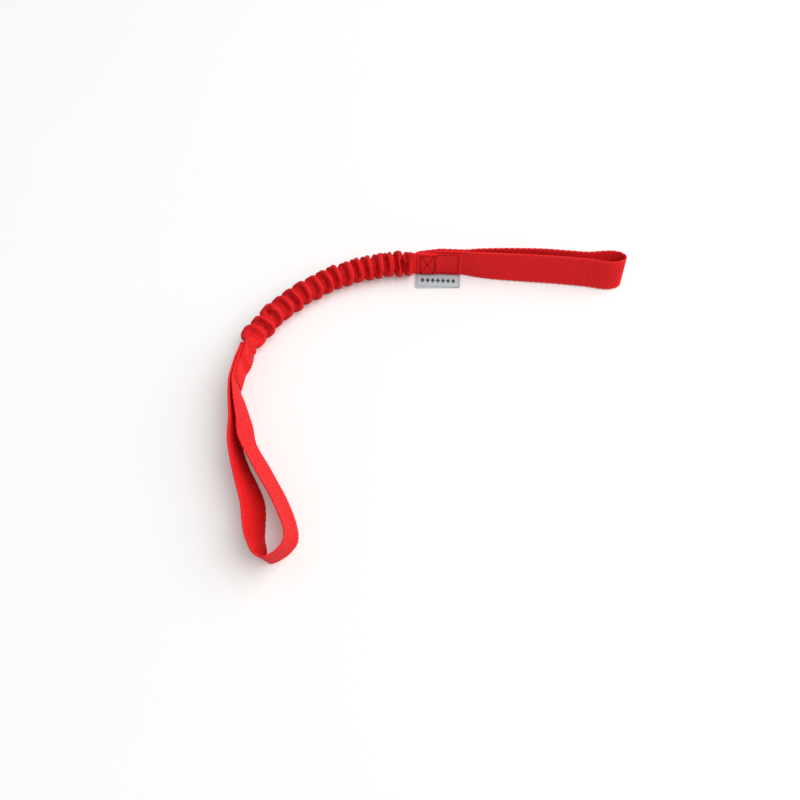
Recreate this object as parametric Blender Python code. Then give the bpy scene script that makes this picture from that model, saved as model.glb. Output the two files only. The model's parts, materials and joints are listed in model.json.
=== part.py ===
"""Bungee tug toy: two loops of ribbed webbing, joined by a gathered sleeve over an elastic cord.

The toy lies on a floor as it was put down: the hand loop runs along +X, the gathered part bends
away from it in an arc, and the far loop has fallen open. Lengths are in metres and +Z is up. The
origin is the middle of the toy's outline on the floor.

The hand loop, the arc and the sewn layers are worked out in the hand frame: its origin is on the
floor under the hand neck, where the sleeve turns from round to flat, and its +X runs out along
the hand loop. The far loop has a frame of the same kind at the far neck.
"""

import math
from collections import namedtuple

import bpy
import numpy as np
from mathutils import Matrix, Vector

# Webbing of both loops
WEBBING_WIDTH = 0.025
WEBBING_THICKNESS = 0.0016
SELVEDGE_ROUND = 0.0003
STRAP_SETBACK = 0.002
STRAP_END_WIDTH = 0.0208

# Gap between pieces that touch
CLEARANCE = 0.0003

# Sleeve: tubular webbing, flat where it is sewn and pleated between the necks
SLEEVE_WALL = 0.0009
TAB_WIDTH = 0.022
HAND_NECK_LENGTH = 0.0012
FAR_NECK_LENGTH = 0.003
NECK_BLEND = 0.008
PLEAT_COUNT = 16
PLEAT_RADIUS = 0.0101
VALLEY_RADIUS = 0.0068
PLEAT_FLAT = 0.0005
PLEAT_SLANT = 0.0009
PLEAT_UNEVENNESS = 0.0004

# Lay of the gathered part
BUNGEE_LENGTH = 0.1629
BUNGEE_BEND = math.radians(66.6)
HAND_NECK_TURN = math.radians(2.2)
FAR_NECK_TURN = math.radians(16.2)
FAR_NECK_SHIFT = 0.0024
TOY_TURN = math.radians(-3)

# Elastic: a round cord whose ends are pressed flat and sewn inside the tabs
ELASTIC_DIAMETER = 0.008
ELASTIC_TAIL_WIDTH = 0.014
ELASTIC_TAIL_THICKNESS = 0.0007

# Loops, measured from their necks
HAND_LOOP_LENGTH = 0.173
HAND_LOOP_GAP = 0.0135
HAND_LEAN = math.radians(7)
HAND_TAB_LENGTH = 0.040
HAND_CROSS_START = 0.0062
FAR_LOOP_LENGTH = 0.1615
FAR_LOOP_SWEEP = 0.069
FAR_LEAN = math.radians(3)
FAR_TAB_LENGTH = 0.034
FAR_CROSS_START = 0.0042

# Stitching: a crossed box beside the neck, and a longer box up to the tab's cut end
THREAD_WIDTH = 0.0006
THREAD_THICKNESS = 0.0003
STITCH_HEIGHT = 0.0168
CROSS_LENGTH = 0.0112
BOX_SPACING = 0.0015
TAB_END_MARGIN = 0.0028

# Label, caught under the edge of the hand tab
LABEL_LENGTH = 0.0375
LABEL_REACH = 0.0118
LABEL_SKEW = 0.0022
LABEL_THICKNESS = 0.0007
LABEL_CORNER = 0.0015
LABEL_SETBACK = 0.0025

# Route of each strap once round its loop, from the sewn layers out to the tip and back: how far
# out, in the loop's free length; how far sideways, in the loop's gap or sweep; which of the two
# sewn layers the strap belongs to there; and how its upper edge leans outwards and sideways, in
# the webbing's width.
HAND_ROUTE_SHARES = (
    (0.094, -0.155, -1, 0.00, 0.21),
    (0.200, -0.280, -1, 0.00, 0.30),
    (0.377, -0.370, -1, 0.00, 0.36),
    (0.584, -0.444, -1, 0.00, 0.38),
    (0.777, -0.570, -1, 0.00, 0.38),
    (0.912, -0.725, -1, 0.00, 0.37),
    (0.977, -0.580, -0.6, 0.01, 0.37),
    (1.000, -0.300, 0, 0.02, 0.37),
    (0.977, -0.040, 0.6, 0.01, 0.36),
    (0.925, 0.040, 1, 0.00, 0.36),
    (0.860, -0.010, 1, 0.00, 0.36),
    (0.774, -0.110, 1, 0.00, 0.35),
    (0.677, -0.050, 1, 0.00, 0.33),
    (0.500, 0.060, 1, 0.00, 0.30),
    (0.300, 0.090, 1, 0.00, 0.24),
    (0.113, 0.060, 1, 0.00, 0.17),
)
FAR_ROUTE_SHARES = (
    (0.086, -0.086, -1, 0.09, 0.15),
    (0.156, -0.162, -1, 0.13, 0.22),
    (0.231, -0.239, -1, 0.16, 0.27),
    (0.341, -0.331, -1, 0.20, 0.31),
    (0.467, -0.525, -1, 0.26, 0.32),
    (0.555, -0.655, -1, 0.25, 0.32),
    (0.646, -0.787, -1, 0.22, 0.31),
    (0.779, -0.938, -1, 0.14, 0.30),
    (0.870, -0.987, -1, 0.02, 0.24),
    (0.935, -0.940, -0.6, 0.03, 0.05),
    (0.982, -0.855, -0.3, 0.11, 0.00),
    (1.000, -0.790, 0, 0.15, 0.07),
    (0.978, -0.742, 0.3, 0.16, 0.18),
    (0.939, -0.728, 0.6, 0.15, 0.31),
    (0.883, -0.690, 1, 0.12, 0.38),
    (0.823, -0.668, 1, 0.11, 0.45),
    (0.734, -0.635, 1, 0.16, 0.51),
    (0.663, -0.583, 1, 0.24, 0.50),
    (0.580, -0.478, 1, 0.27, 0.41),
    (0.486, -0.345, 1, 0.21, 0.29),
    (0.376, -0.225, 1, 0.16, 0.20),
    (0.245, -0.150, 1, 0.12, 0.14),
    (0.090, -0.045, 1, 0.06, 0.09),
)

# Where the rings of one pleat lie between its two valleys
PLEAT_STATION_SHARES = (0.0, 0.14, 0.36, 0.64, 0.86)
PLEAT_FULLNESS_SHARE = 0.5
# How much wider apart and how much thinner the pleats are at the far end than at the hand end
PLEAT_SPREAD_SHARE = 0.20
PLEAT_TAPER_SHARE = 0.10
# How far into a tab the strap under it is drawn in
DRAWN_IN_SHARE = 0.55
FAR_NECK_STATION_SHARES = (0.65, 0.3)
# How much of the webbing's thickness its flat edge keeps between the rounded corners
EDGE_FLAT_SHARE = 0.6
# Turn from one pleat to the next of the side that it bulges to, in radians
BULGE_TURN_SHARE = 2.4
SLANT_TURN_SHARE = 1.9

SECTION_SIDES = 16
STEPS_BETWEEN_STATIONS = 4
BORE_STEPS = 22
LABEL_CORNER_STEPS = 4

RED = (0.72, 0.012, 0.018, 1.0)
DARK_RED = (0.32, 0.008, 0.012, 1.0)
RUBBER = (0.55, 0.53, 0.48, 1.0)
PALE_GREY = (0.62, 0.62, 0.66, 1.0)

TAB_THICKNESS = 2 * SLEEVE_WALL + ELASTIC_TAIL_THICKNESS + 2 * CLEARANCE
TAB_RAISE = LABEL_THICKNESS + 2 * CLEARANCE
TAB_MIDDLE = TAB_RAISE + TAB_WIDTH / 2
STACK_THICKNESS = TAB_THICKNESS + 2 * (WEBBING_THICKNESS + CLEARANCE)
STRAP_SPACING = WEBBING_THICKNESS + CLEARANCE
BUNGEE_RADIUS = BUNGEE_LENGTH / BUNGEE_BEND
BORE_RADIUS = ELASTIC_DIAMETER / 2 + CLEARANCE

Loop = namedtuple("Loop", "name side lean tab_length cross_start length across route_shares")
Layer = namedtuple("Layer", "middle thickness")
Section = namedtuple("Section", "half_width half_depth squareness")

HAND_LOOP = Loop(
    "hand", 1, HAND_LEAN, HAND_TAB_LENGTH, HAND_CROSS_START,
    HAND_LOOP_LENGTH, HAND_LOOP_GAP, HAND_ROUTE_SHARES,
)
FAR_LOOP = Loop(
    "far", -1, FAR_LEAN, FAR_TAB_LENGTH, FAR_CROSS_START,
    FAR_LOOP_LENGTH, FAR_LOOP_SWEEP, FAR_ROUTE_SHARES,
)


def clear_scene():
    for item in list(bpy.data.objects):
        bpy.data.objects.remove(item)


def new_collection(name):
    collection = bpy.data.collections.new(name)
    bpy.context.scene.collection.children.link(collection)
    return collection


def material(name, colour, roughness):
    made = bpy.data.materials.new(name)
    made.use_nodes = True
    shader = made.node_tree.nodes["Principled BSDF"]
    shader.inputs["Base Color"].default_value = colour
    shader.inputs["Roughness"].default_value = roughness
    shader.inputs["Metallic"].default_value = 0.0
    return made


def pivot(collection, name, matrix, parent=None):
    """An empty on a joint's axis, which carries the pieces that turn with it."""
    empty = bpy.data.objects.new(name, None)
    collection.objects.link(empty)
    empty.parent = parent
    empty.matrix_local = matrix
    return empty


# Sewn layers: the tab and the two ends of the strap, side by side and leaning alike


def sewn_layers():
    """The tab, the near strap end and the far one, as distances along the stack's normal."""
    tab = Layer(TAB_THICKNESS / 2 - STACK_THICKNESS / 2, TAB_THICKNESS)
    first = Layer(
        tab.middle + TAB_THICKNESS / 2 + CLEARANCE + WEBBING_THICKNESS / 2, WEBBING_THICKNESS
    )
    second = Layer(first.middle + STRAP_SPACING, WEBBING_THICKNESS)
    return tab, first, second


def stack_point(loop, along, up, through):
    """A point of the sewn layers in the loop's frame: out, up the leaning face, and through it."""
    sine = math.sin(loop.lean)
    cosine = math.cos(loop.lean)
    across = (up - TAB_MIDDLE) * sine + through * cosine
    return Vector((along, loop.side * across, up * cosine - through * sine))


def floor_across(loop, through):
    """Where a layer of the stack meets the floor, sideways from the neck's line."""
    return through / math.cos(loop.lean) - TAB_MIDDLE * math.sin(loop.lean)


def face_matrix(loop, along, up, through, outward):
    """A frame on a face of the stack: x along the loop, y up the face, z out of it."""
    out = Vector((0, loop.side * math.cos(loop.lean), -math.sin(loop.lean))) * outward
    upward = Vector((0, loop.side * math.sin(loop.lean), math.cos(loop.lean)))
    run = upward.cross(out)
    matrix = Matrix((run, upward, out)).transposed().to_4x4()
    matrix.translation = stack_point(loop, along, up, through)
    return matrix


# Lofts


def ring_faces(first, second, sides):
    """Quads between two rings of vertices, given by the number of their first vertex."""
    following = [(k + 1) % sides for k in range(sides)]
    return [(first + k, first + n, second + n, second + k) for k, n in enumerate(following)]


def mesh_object(name, points, faces, surface):
    mesh = bpy.data.meshes.new(name)
    mesh.from_pydata([tuple(point) for point in points], [], faces)
    mesh.materials.append(surface)
    mesh.validate()
    made = bpy.data.objects.new(name, mesh)
    return made


def solid_loft(name, rings, surface):
    """A closed solid through a row of rings, with a flat cap at each end."""
    sides = len(rings[0])
    faces = []
    for k in range(len(rings) - 1):
        faces += ring_faces(k * sides, (k + 1) * sides, sides)
    last = (len(rings) - 1) * sides
    faces.append(tuple(reversed(range(sides))))
    faces.append(tuple(range(last, last + sides)))
    return mesh_object(name, np.concatenate(rings), faces, surface)


def hollow_loft(name, outer, inner, surface):
    """A tube: an outer row of rings, an inner one, and a rim that joins them at each end."""
    sides = len(outer[0])
    base = len(outer) * sides
    faces = []
    for k in range(len(outer) - 1):
        faces += ring_faces(k * sides, (k + 1) * sides, sides)
    for k in range(len(inner) - 1):
        faces += ring_faces(base + (k + 1) * sides, base + k * sides, sides)
    faces += ring_faces(base, 0, sides)
    faces += ring_faces(base - sides, base + (len(inner) - 1) * sides, sides)
    return mesh_object(name, np.concatenate(outer + inner), faces, surface)


def face_outwards(made):
    """Turns a closed mesh right side out if its rings ran the other way round."""
    mesh = made.data
    mesh.calc_loop_triangles()
    corners = np.array([[mesh.vertices[v].co for v in t.vertices] for t in mesh.loop_triangles])
    volume = np.einsum("ij,ij->i", corners[:, 0], np.cross(corners[:, 1], corners[:, 2])).sum()
    if volume < 0:
        mesh.flip_normals()
    return made


# Straps


def strap_stations(loop):
    """Places along a strap: its bottom middle, how its upper edge leans, and its width."""
    first, second = sewn_layers()[1:]
    between = (first.middle + second.middle) / 2
    free_length = loop.length - loop.tab_length
    stations = []
    for out, sideways, layer, lean_out, lean_sideways in loop.route_shares:
        through = between + layer * STRAP_SPACING / 2
        across = floor_across(loop, through) + sideways * loop.across
        place = (loop.tab_length + out * free_length, across)
        stations.append((*place, lean_out, lean_sideways, WEBBING_WIDTH))
    sewn = (0, math.sin(loop.lean), WEBBING_WIDTH)
    ends = [(loop.tab_length, floor_across(loop, layer.middle), *sewn) for layer in (first, second)]
    return np.array([ends[0], *stations, ends[1]])


def smooth_stations(stations, start_direction, end_direction):
    """A curve through the stations: cubic pieces that share a slope where they meet."""
    chords = np.linalg.norm(np.diff(stations[:, :2], axis=0), axis=1)
    spans = np.concatenate([[0], np.cumsum(chords)])
    slopes = np.empty_like(stations)
    slopes[1:-1] = (stations[2:] - stations[:-2]) / (spans[2:] - spans[:-2])[:, None]
    slopes[0] = start_direction
    slopes[-1] = end_direction
    rows = []
    for k, chord in enumerate(chords):
        for t in np.arange(STEPS_BETWEEN_STATIONS) / STEPS_BETWEEN_STATIONS:
            start = (1 + 2 * t) * (1 - t) ** 2 * stations[k] + t * (1 - t) ** 2 * chord * slopes[k]
            finish = t * t * (3 - 2 * t) * stations[k + 1]
            rows.append(start + finish - t * t * (1 - t) * chord * slopes[k + 1])
    return np.array([*rows, stations[-1]])


def strap_path(loop):
    """The whole strap: straight between the sewn ends, and curved round the loop."""
    outward = np.array([1.0, 0, 0, 0, 0])
    free = smooth_stations(strap_stations(loop), outward, -outward)
    sewn = []
    for end in (free[0], free[-1]):
        drawn_in = end.copy()
        drawn_in[0] = DRAWN_IN_SHARE * loop.tab_length
        cut = end.copy()
        cut[0] = STRAP_SETBACK
        cut[-1] = STRAP_END_WIDTH
        sewn.append([cut, drawn_in])
    return np.array([*sewn[0], *free, *reversed(sewn[1])])


def strap_rings(loop):
    """Cross-sections of the webbing, level along the floor and leaning above it."""
    path = strap_path(loop)
    runs = np.gradient(path[:, :2], axis=0)
    runs /= np.linalg.norm(runs, axis=1)[:, None]
    rings = []
    for (out, across, lean_out, lean_across, width), run in zip(path, runs):
        normal = np.array([-run[1], run[0]])
        rise = math.sqrt(1 - lean_out**2 - lean_across**2)
        lean = np.array([lean_out, lean_across, rise])
        tilt = math.atan2(lean[:2] @ normal, lean[2])
        half = WEBBING_THICKNESS / 2 / math.cos(tilt)
        edge = half * EDGE_FLAT_SHARE
        low = SELVEDGE_ROUND
        high = width - SELVEDGE_ROUND
        outline = [
            (edge, 0), (half, low), (half, high), (edge, width),
            (-edge, width), (-half, high), (-half, low), (-edge, 0),
        ]
        ring = [
            (*(np.array([out, across]) + side * normal + up * lean[:2]), up * lean[2])
            for side, up in outline
        ]
        rings.append(np.array(ring) * (1, loop.side, 1))
    return rings


def loop_webbing(loop, surface):
    return face_outwards(solid_loft(f"{loop.name}_loop_webbing", strap_rings(loop), surface))


# Sleeve and elastic


def blend(share):
    return share * share * (3 - 2 * share)


def roundness(distance):
    """0 where the sleeve is pressed flat, 1 where it is round, smooth through the necks."""
    from_end = np.minimum(distance, BUNGEE_LENGTH - distance)
    return blend(np.clip(from_end / NECK_BLEND, 0, 1))


def far_neck_matrix():
    """The far loop's frame in the hand frame: it turns on from where the arc ends."""
    heading = arc_heading(BUNGEE_LENGTH)
    left = np.array([-math.sin(heading), math.cos(heading)])
    place = arc_point(BUNGEE_LENGTH) + FAR_NECK_SHIFT * left
    turn = Matrix.Rotation(heading + FAR_NECK_TURN, 4, "Z")
    return Matrix.Translation((*place, 0)) @ turn


def arc_heading(distance):
    return math.pi + HAND_NECK_TURN + distance / BUNGEE_RADIUS


def arc_point(distance):
    """The middle of the gathered part, seen from above, at a distance from the hand neck."""
    start = arc_heading(0)
    heading = arc_heading(distance)
    along = BUNGEE_RADIUS * (np.sin(heading) - np.sin(start))
    across = -BUNGEE_RADIUS * (np.cos(heading) - np.cos(start))
    return np.stack([along, across], axis=-1)


def neck_frame(loop):
    """The tab's middle at its neck, its heading along the sleeve and the lean to its right."""
    tab = sewn_layers()[0]
    place = stack_point(loop, 0, TAB_MIDDLE, tab.middle)
    if loop is HAND_LOOP:
        return np.array(place), math.pi, loop.lean
    matrix = far_neck_matrix()
    return np.array(matrix @ place), matrix.to_euler().z, loop.lean


def full_radius(distance):
    """Radius of the pleats, which get a little thinner towards the far end."""
    return PLEAT_RADIUS * (1 - PLEAT_TAPER_SHARE * (distance / BUNGEE_LENGTH - 0.5))


def bungee_middle(distance):
    """Middle of the gathered part, low enough for each pleat to rest on a small flat."""
    height = full_radius(distance) - PLEAT_FLAT
    return np.concatenate([arc_point(distance), np.reshape(height, (*distance.shape, 1))], -1)


def sleeve_frame(distance):
    """Middle, heading and lean of the sleeve at distances from the hand neck along the arc."""
    distance = np.asarray(distance, dtype=float)
    loop = HAND_LOOP if np.mean(distance) < BUNGEE_LENGTH / 2 else FAR_LOOP
    at_end = 0 if loop is HAND_LOOP else BUNGEE_LENGTH
    place, heading, lean = neck_frame(loop)
    flat = 1 - roundness(distance)
    kink = math.remainder(heading - arc_heading(at_end), 2 * math.pi)
    to_tab = place - bungee_middle(np.array(float(at_end)))
    middle = bungee_middle(distance) + flat[..., None] * to_tab
    return middle, arc_heading(distance) + flat * kink, flat * lean


def section_ring(frame, section):
    """One ring: between an ellipse and a rectangle, upright in its frame and leaning with it."""
    middle, heading, lean = frame
    angle = 2 * math.pi * np.arange(SECTION_SIDES) / SECTION_SIDES
    half_step = math.pi / SECTION_SIDES
    circle = np.stack([np.cos(angle + half_step), np.sin(angle + half_step)], axis=1)
    corner = np.stack([np.cos(angle), np.sin(angle)], axis=1)
    square = corner / np.abs(corner).max(axis=1)[:, None]
    share = np.reshape(section.squareness, (-1, 1))
    outline = share * square + (1 - share) * circle
    level = np.zeros_like(np.broadcast_to(heading, (SECTION_SIDES,)))
    left = np.stack([-np.sin(heading) + level, np.cos(heading) + level, level], axis=1)
    up = np.array([0.0, 0.0, 1.0])
    sine = np.reshape(np.sin(lean), (-1, 1))
    cosine = np.reshape(np.cos(lean), (-1, 1))
    through = cosine * left + sine * up
    rise = cosine * up - sine * left
    depth = np.reshape(section.half_depth, (-1, 1)) * outline[:, :1]
    width = np.reshape(section.half_width, (-1, 1)) * outline[:, 1:]
    points = middle + through * depth + rise * width
    points[:, 2] = np.maximum(points[:, 2], 0)
    return points


def flattened(round_radius, flat_width, flat_thickness, distance):
    """A section that is round in the gathered part and flat in the tabs."""
    share = roundness(distance)
    width = share * round_radius + (1 - share) * flat_width / 2
    depth = share * round_radius + (1 - share) * flat_thickness / 2
    return Section(width, depth, 1 - share)


def tab_ring(loop, along, flat_width, flat_thickness):
    """A ring in a tab, at a distance from its neck."""
    place, heading, lean = neck_frame(loop)
    backwards = 1 if loop is FAR_LOOP else -1
    run = backwards * along * np.array([math.cos(heading), math.sin(heading), 0])
    return section_ring((place + run, heading, lean), Section(flat_width / 2, flat_thickness / 2, 1))


def valley(index, angle):
    """Distance along the arc of a valley between pleats; each slants its own way."""
    share = index / PLEAT_COUNT
    share += PLEAT_SPREAD_SHARE * share * (share - 1)
    place = HAND_NECK_LENGTH + share * (BUNGEE_LENGTH - HAND_NECK_LENGTH - FAR_NECK_LENGTH)
    return place + PLEAT_SLANT * np.cos(angle - SLANT_TURN_SHARE * index)


def pleat_ring(index, share):
    """One ring of a pleat, a share of the way from its valley to the next one."""
    angle = 2 * math.pi * (np.arange(SECTION_SIDES) + 0.5) / SECTION_SIDES
    distance = valley(index, angle) * (1 - share) + valley(index + 1, angle) * share
    bulge = PLEAT_UNEVENNESS * np.sin(angle + BULGE_TURN_SHARE * index)
    height = math.sin(math.pi * share) ** PLEAT_FULLNESS_SHARE
    radius = VALLEY_RADIUS + (full_radius(distance) + bulge - VALLEY_RADIUS) * height
    section = flattened(radius, TAB_WIDTH, TAB_THICKNESS, distance)
    return section_ring(sleeve_frame(distance), section)


def neck_ring(distance):
    section = flattened(VALLEY_RADIUS, TAB_WIDTH, TAB_THICKNESS, distance)
    return section_ring(sleeve_frame(distance), section)


def sleeve_rings():
    """Outside of the sleeve: flat tab, hand neck, pleats, far neck, flat tab."""
    ends = (TAB_WIDTH, TAB_THICKNESS)
    far_neck = [BUNGEE_LENGTH - share * FAR_NECK_LENGTH for share in FAR_NECK_STATION_SHARES]
    rings = [tab_ring(HAND_LOOP, HAND_TAB_LENGTH, *ends), tab_ring(HAND_LOOP, 0, *ends)]
    for index in range(PLEAT_COUNT):
        rings += [pleat_ring(index, share) for share in PLEAT_STATION_SHARES]
    rings.append(pleat_ring(PLEAT_COUNT, 0))
    rings += [neck_ring(distance) for distance in far_neck]
    rings += [tab_ring(FAR_LOOP, 0, *ends), tab_ring(FAR_LOOP, FAR_TAB_LENGTH, *ends)]
    return rings


def core_rings(radius, width, thickness, hand_reach, far_reach):
    """Rings of what runs inside the sleeve, its bore or the elastic, from tab to tab."""
    rings = [tab_ring(HAND_LOOP, hand_reach, width, thickness)]
    for distance in core_stations():
        section = flattened(radius, width, thickness, distance)
        rings.append(section_ring(sleeve_frame(distance), section))
    rings.append(tab_ring(FAR_LOOP, far_reach, width, thickness))
    return rings


def core_stations():
    """Distances along the arc for the bore and the elastic, closer together in the necks."""
    into = NECK_BLEND * np.linspace(0, 1, len(PLEAT_STATION_SHARES))
    middle = np.linspace(NECK_BLEND, BUNGEE_LENGTH - NECK_BLEND, BORE_STEPS)[1:-1]
    return np.concatenate([into, middle, (BUNGEE_LENGTH - into)[::-1]])


def gathered_sleeve(surface):
    bore = core_rings(
        BORE_RADIUS, TAB_WIDTH - 2 * SLEEVE_WALL, TAB_THICKNESS - 2 * SLEEVE_WALL,
        HAND_TAB_LENGTH, FAR_TAB_LENGTH,
    )
    return face_outwards(hollow_loft("gathered_sleeve", sleeve_rings(), bore, surface))


def elastic_core(surface):
    """The cord that draws the pleats together; its flat tails end under the crossed boxes."""
    rings = core_rings(
        ELASTIC_DIAMETER / 2, ELASTIC_TAIL_WIDTH, ELASTIC_TAIL_THICKNESS,
        HAND_CROSS_START + CROSS_LENGTH, FAR_CROSS_START + CROSS_LENGTH,
    )
    return face_outwards(solid_loft("elastic_core", rings, surface))


# Stitching and label


def flat_outline(name, outlines, thickness, surface):
    """A flat piece from closed outlines, the first one its edge and the others its holes."""
    curve = bpy.data.curves.new(name, "CURVE")
    curve.dimensions = "2D"
    curve.fill_mode = "BOTH"
    curve.extrude = thickness / 2
    for outline in outlines:
        spline = curve.splines.new("POLY")
        spline.points.add(len(outline) - 1)
        for point, (x, y) in zip(spline.points, outline):
            point.co = (x, y, 0, 1)
        spline.use_cyclic_u = True
    curve.materials.append(surface)
    return bpy.data.objects.new(name, curve)


def box_outline(half_length, half_height):
    corners = ((-1, -1), (1, -1), (1, 1), (-1, 1))
    return [(x * half_length, y * half_height) for x, y in corners]


def box_seam(length, height):
    """A rectangle of stitches, one thread wide."""
    half = THREAD_WIDTH / 2
    outer = box_outline(length / 2 + half, height / 2 + half)
    return [outer, box_outline(length / 2 - half, height / 2 - half)]


def crossed_seam(length, height):
    """A rectangle of stitches with both diagonals, as an outline with four triangular holes."""
    half = THREAD_WIDTH / 2
    across = length / 2
    up = height / 2
    slope = half * math.hypot(across, up)
    inner_across = across - half
    inner_up = up - half
    base = (inner_up * across - slope) / up
    side = (inner_across * up - slope) / across
    holes = [
        [(0, sign * slope / across), (base, sign * inner_up), (-base, sign * inner_up)]
        for sign in (-1, 1)
    ]
    holes += [
        [(sign * slope / up, 0), (sign * inner_across, side), (sign * inner_across, -side)]
        for sign in (-1, 1)
    ]
    return [box_outline(across + half, up + half), *holes]


def seam_middle(loop):
    """Middle of the crossed box and of the long one, from the neck, and the long one's length."""
    crossed = loop.cross_start + CROSS_LENGTH / 2
    start = loop.cross_start + CROSS_LENGTH + BOX_SPACING
    length = loop.tab_length - TAB_END_MARGIN - start
    return crossed, start + length / 2, length


def threads(loop, surface):
    """Both seams of a patch, the upper thread on the tab and the lower one on the strap."""
    tab, _, second = sewn_layers()
    crossed, boxed, length = seam_middle(loop)
    lift = CLEARANCE + THREAD_THICKNESS / 2
    faces = (
        ("upper_thread", tab.middle - tab.thickness / 2 - lift, -1),
        ("lower_thread", second.middle + second.thickness / 2 + lift, 1),
    )
    made = []
    for thread, through, outward in faces:
        seams = (
            ("cross", crossed, crossed_seam(CROSS_LENGTH, STITCH_HEIGHT)),
            ("box", boxed, box_seam(length, STITCH_HEIGHT)),
        )
        for seam, along, outlines in seams:
            name = f"{loop.name}_{seam}_{thread}"
            piece = flat_outline(name, outlines, THREAD_THICKNESS, surface)
            piece.matrix_local = face_matrix(loop, along, TAB_MIDDLE, through, outward)
            made.append(piece)
    return made


def label_outline(inner, outer):
    """The label from above: square where it is sewn in, askew, with rounded free corners."""
    points = [(LABEL_LENGTH / 2, inner), (-LABEL_LENGTH / 2, inner)]
    for sign in (-1, 1):
        for step in range(LABEL_CORNER_STEPS + 1):
            turn = math.pi / 2 * step / LABEL_CORNER_STEPS
            turn = turn if sign < 0 else math.pi / 2 - turn
            x = LABEL_LENGTH / 2 - LABEL_CORNER * (1 - math.cos(turn))
            y = outer + sign * LABEL_SKEW / 2 + LABEL_CORNER * (1 - math.sin(turn))
            points.append((sign * x, y))
    return points


def woven_label(surface):
    """A folded label that lies on the floor and ends under the tab, against the first strap."""
    tab, first, _ = sewn_layers()
    edge = floor_across(HAND_LOOP, tab.middle - TAB_THICKNESS / 2)
    strap = floor_across(HAND_LOOP, first.middle - WEBBING_THICKNESS / 2)
    outlines = [label_outline(strap - CLEARANCE - edge, -LABEL_REACH)]
    label = flat_outline("woven_label", outlines, LABEL_THICKNESS, surface)
    label.location = (LABEL_SETBACK + LABEL_LENGTH / 2, edge, LABEL_THICKNESS / 2)
    return label


def outline_middle(pieces):
    """Middle of the toy's outline on the floor."""
    bpy.context.view_layer.update()
    graph = bpy.context.evaluated_depsgraph_get()
    places = []
    for piece in pieces:
        evaluated = piece.evaluated_get(graph)
        mesh = evaluated.to_mesh()
        places += [piece.matrix_world @ vertex.co for vertex in mesh.vertices]
        evaluated.to_mesh_clear()
    spread = np.array(places)[:, :2]
    return (spread.min(axis=0) + spread.max(axis=0)) / 2


def main():
    clear_scene()
    collection = new_collection("bungee_tug_toy")
    webbing = material("webbing", RED, 0.62)
    thread = material("thread", DARK_RED, 0.55)
    rubber = material("rubber", RUBBER, 0.7)
    label_cloth = material("label_cloth", PALE_GREY, 0.6)

    toy = pivot(collection, "toy_frame", Matrix.Rotation(TOY_TURN, 4, "Z"))
    hand_neck = pivot(collection, "hand_neck_axis", Matrix.Identity(4), toy)
    far_neck = pivot(collection, "far_neck_axis", far_neck_matrix(), hand_neck)
    carried = (
        (toy, [loop_webbing(HAND_LOOP, webbing), woven_label(label_cloth)]),
        (toy, threads(HAND_LOOP, thread)),
        (hand_neck, [gathered_sleeve(webbing), elastic_core(rubber)]),
        (far_neck, [loop_webbing(FAR_LOOP, webbing)]),
        (far_neck, threads(FAR_LOOP, thread)),
    )
    pieces = []
    for parent, group in carried:
        for piece in group:
            collection.objects.link(piece)
            piece.parent = parent
            pieces.append(piece)
    middle = outline_middle(pieces)
    toy.location = (-middle[0], -middle[1], 0)
    bpy.context.view_layer.update()


main()
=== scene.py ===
"""Looks of the bungee tug toy: ribbed webbing, pleats, stitches, label, floor and light.

Every soft piece is a surface worked out on a grid, in metres, in the toy's own places: the hand
frame lies on the floor under the hand neck with its +X out along the hand loop, and the far frame
in the same way at the far neck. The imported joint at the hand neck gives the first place, and the
arc of the gathered part leads from it to the second.
"""

import json
import math
from collections import namedtuple

import bpy
import numpy as np
from bpy.props import FloatProperty, FloatVectorProperty, IntProperty, PointerProperty
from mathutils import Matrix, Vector


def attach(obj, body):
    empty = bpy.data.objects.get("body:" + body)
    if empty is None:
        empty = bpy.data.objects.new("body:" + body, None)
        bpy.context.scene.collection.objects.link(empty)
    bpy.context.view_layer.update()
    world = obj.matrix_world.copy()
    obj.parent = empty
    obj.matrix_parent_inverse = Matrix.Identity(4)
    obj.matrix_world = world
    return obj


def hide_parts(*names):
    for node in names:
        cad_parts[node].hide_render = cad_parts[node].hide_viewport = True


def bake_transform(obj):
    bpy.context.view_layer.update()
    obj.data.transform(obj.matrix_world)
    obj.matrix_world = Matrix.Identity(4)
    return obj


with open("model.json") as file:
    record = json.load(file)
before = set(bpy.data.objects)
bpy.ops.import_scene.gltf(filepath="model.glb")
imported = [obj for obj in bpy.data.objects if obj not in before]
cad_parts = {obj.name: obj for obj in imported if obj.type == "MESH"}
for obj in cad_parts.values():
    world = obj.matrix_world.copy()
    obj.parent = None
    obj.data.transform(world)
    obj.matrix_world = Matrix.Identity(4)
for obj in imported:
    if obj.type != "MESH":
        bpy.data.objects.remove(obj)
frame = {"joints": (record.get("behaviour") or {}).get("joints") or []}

bl_info = {
    "name": "Bungee tug toy",
    "version": (1, 0, 0),
    "blender": (4, 5, 0),
    "location": "3D View > Sidebar > Tug toy",
    "description": "Builds the webbing, pleats, stitches and label of a bungee tug toy",
    "category": "Mesh",
}

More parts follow.
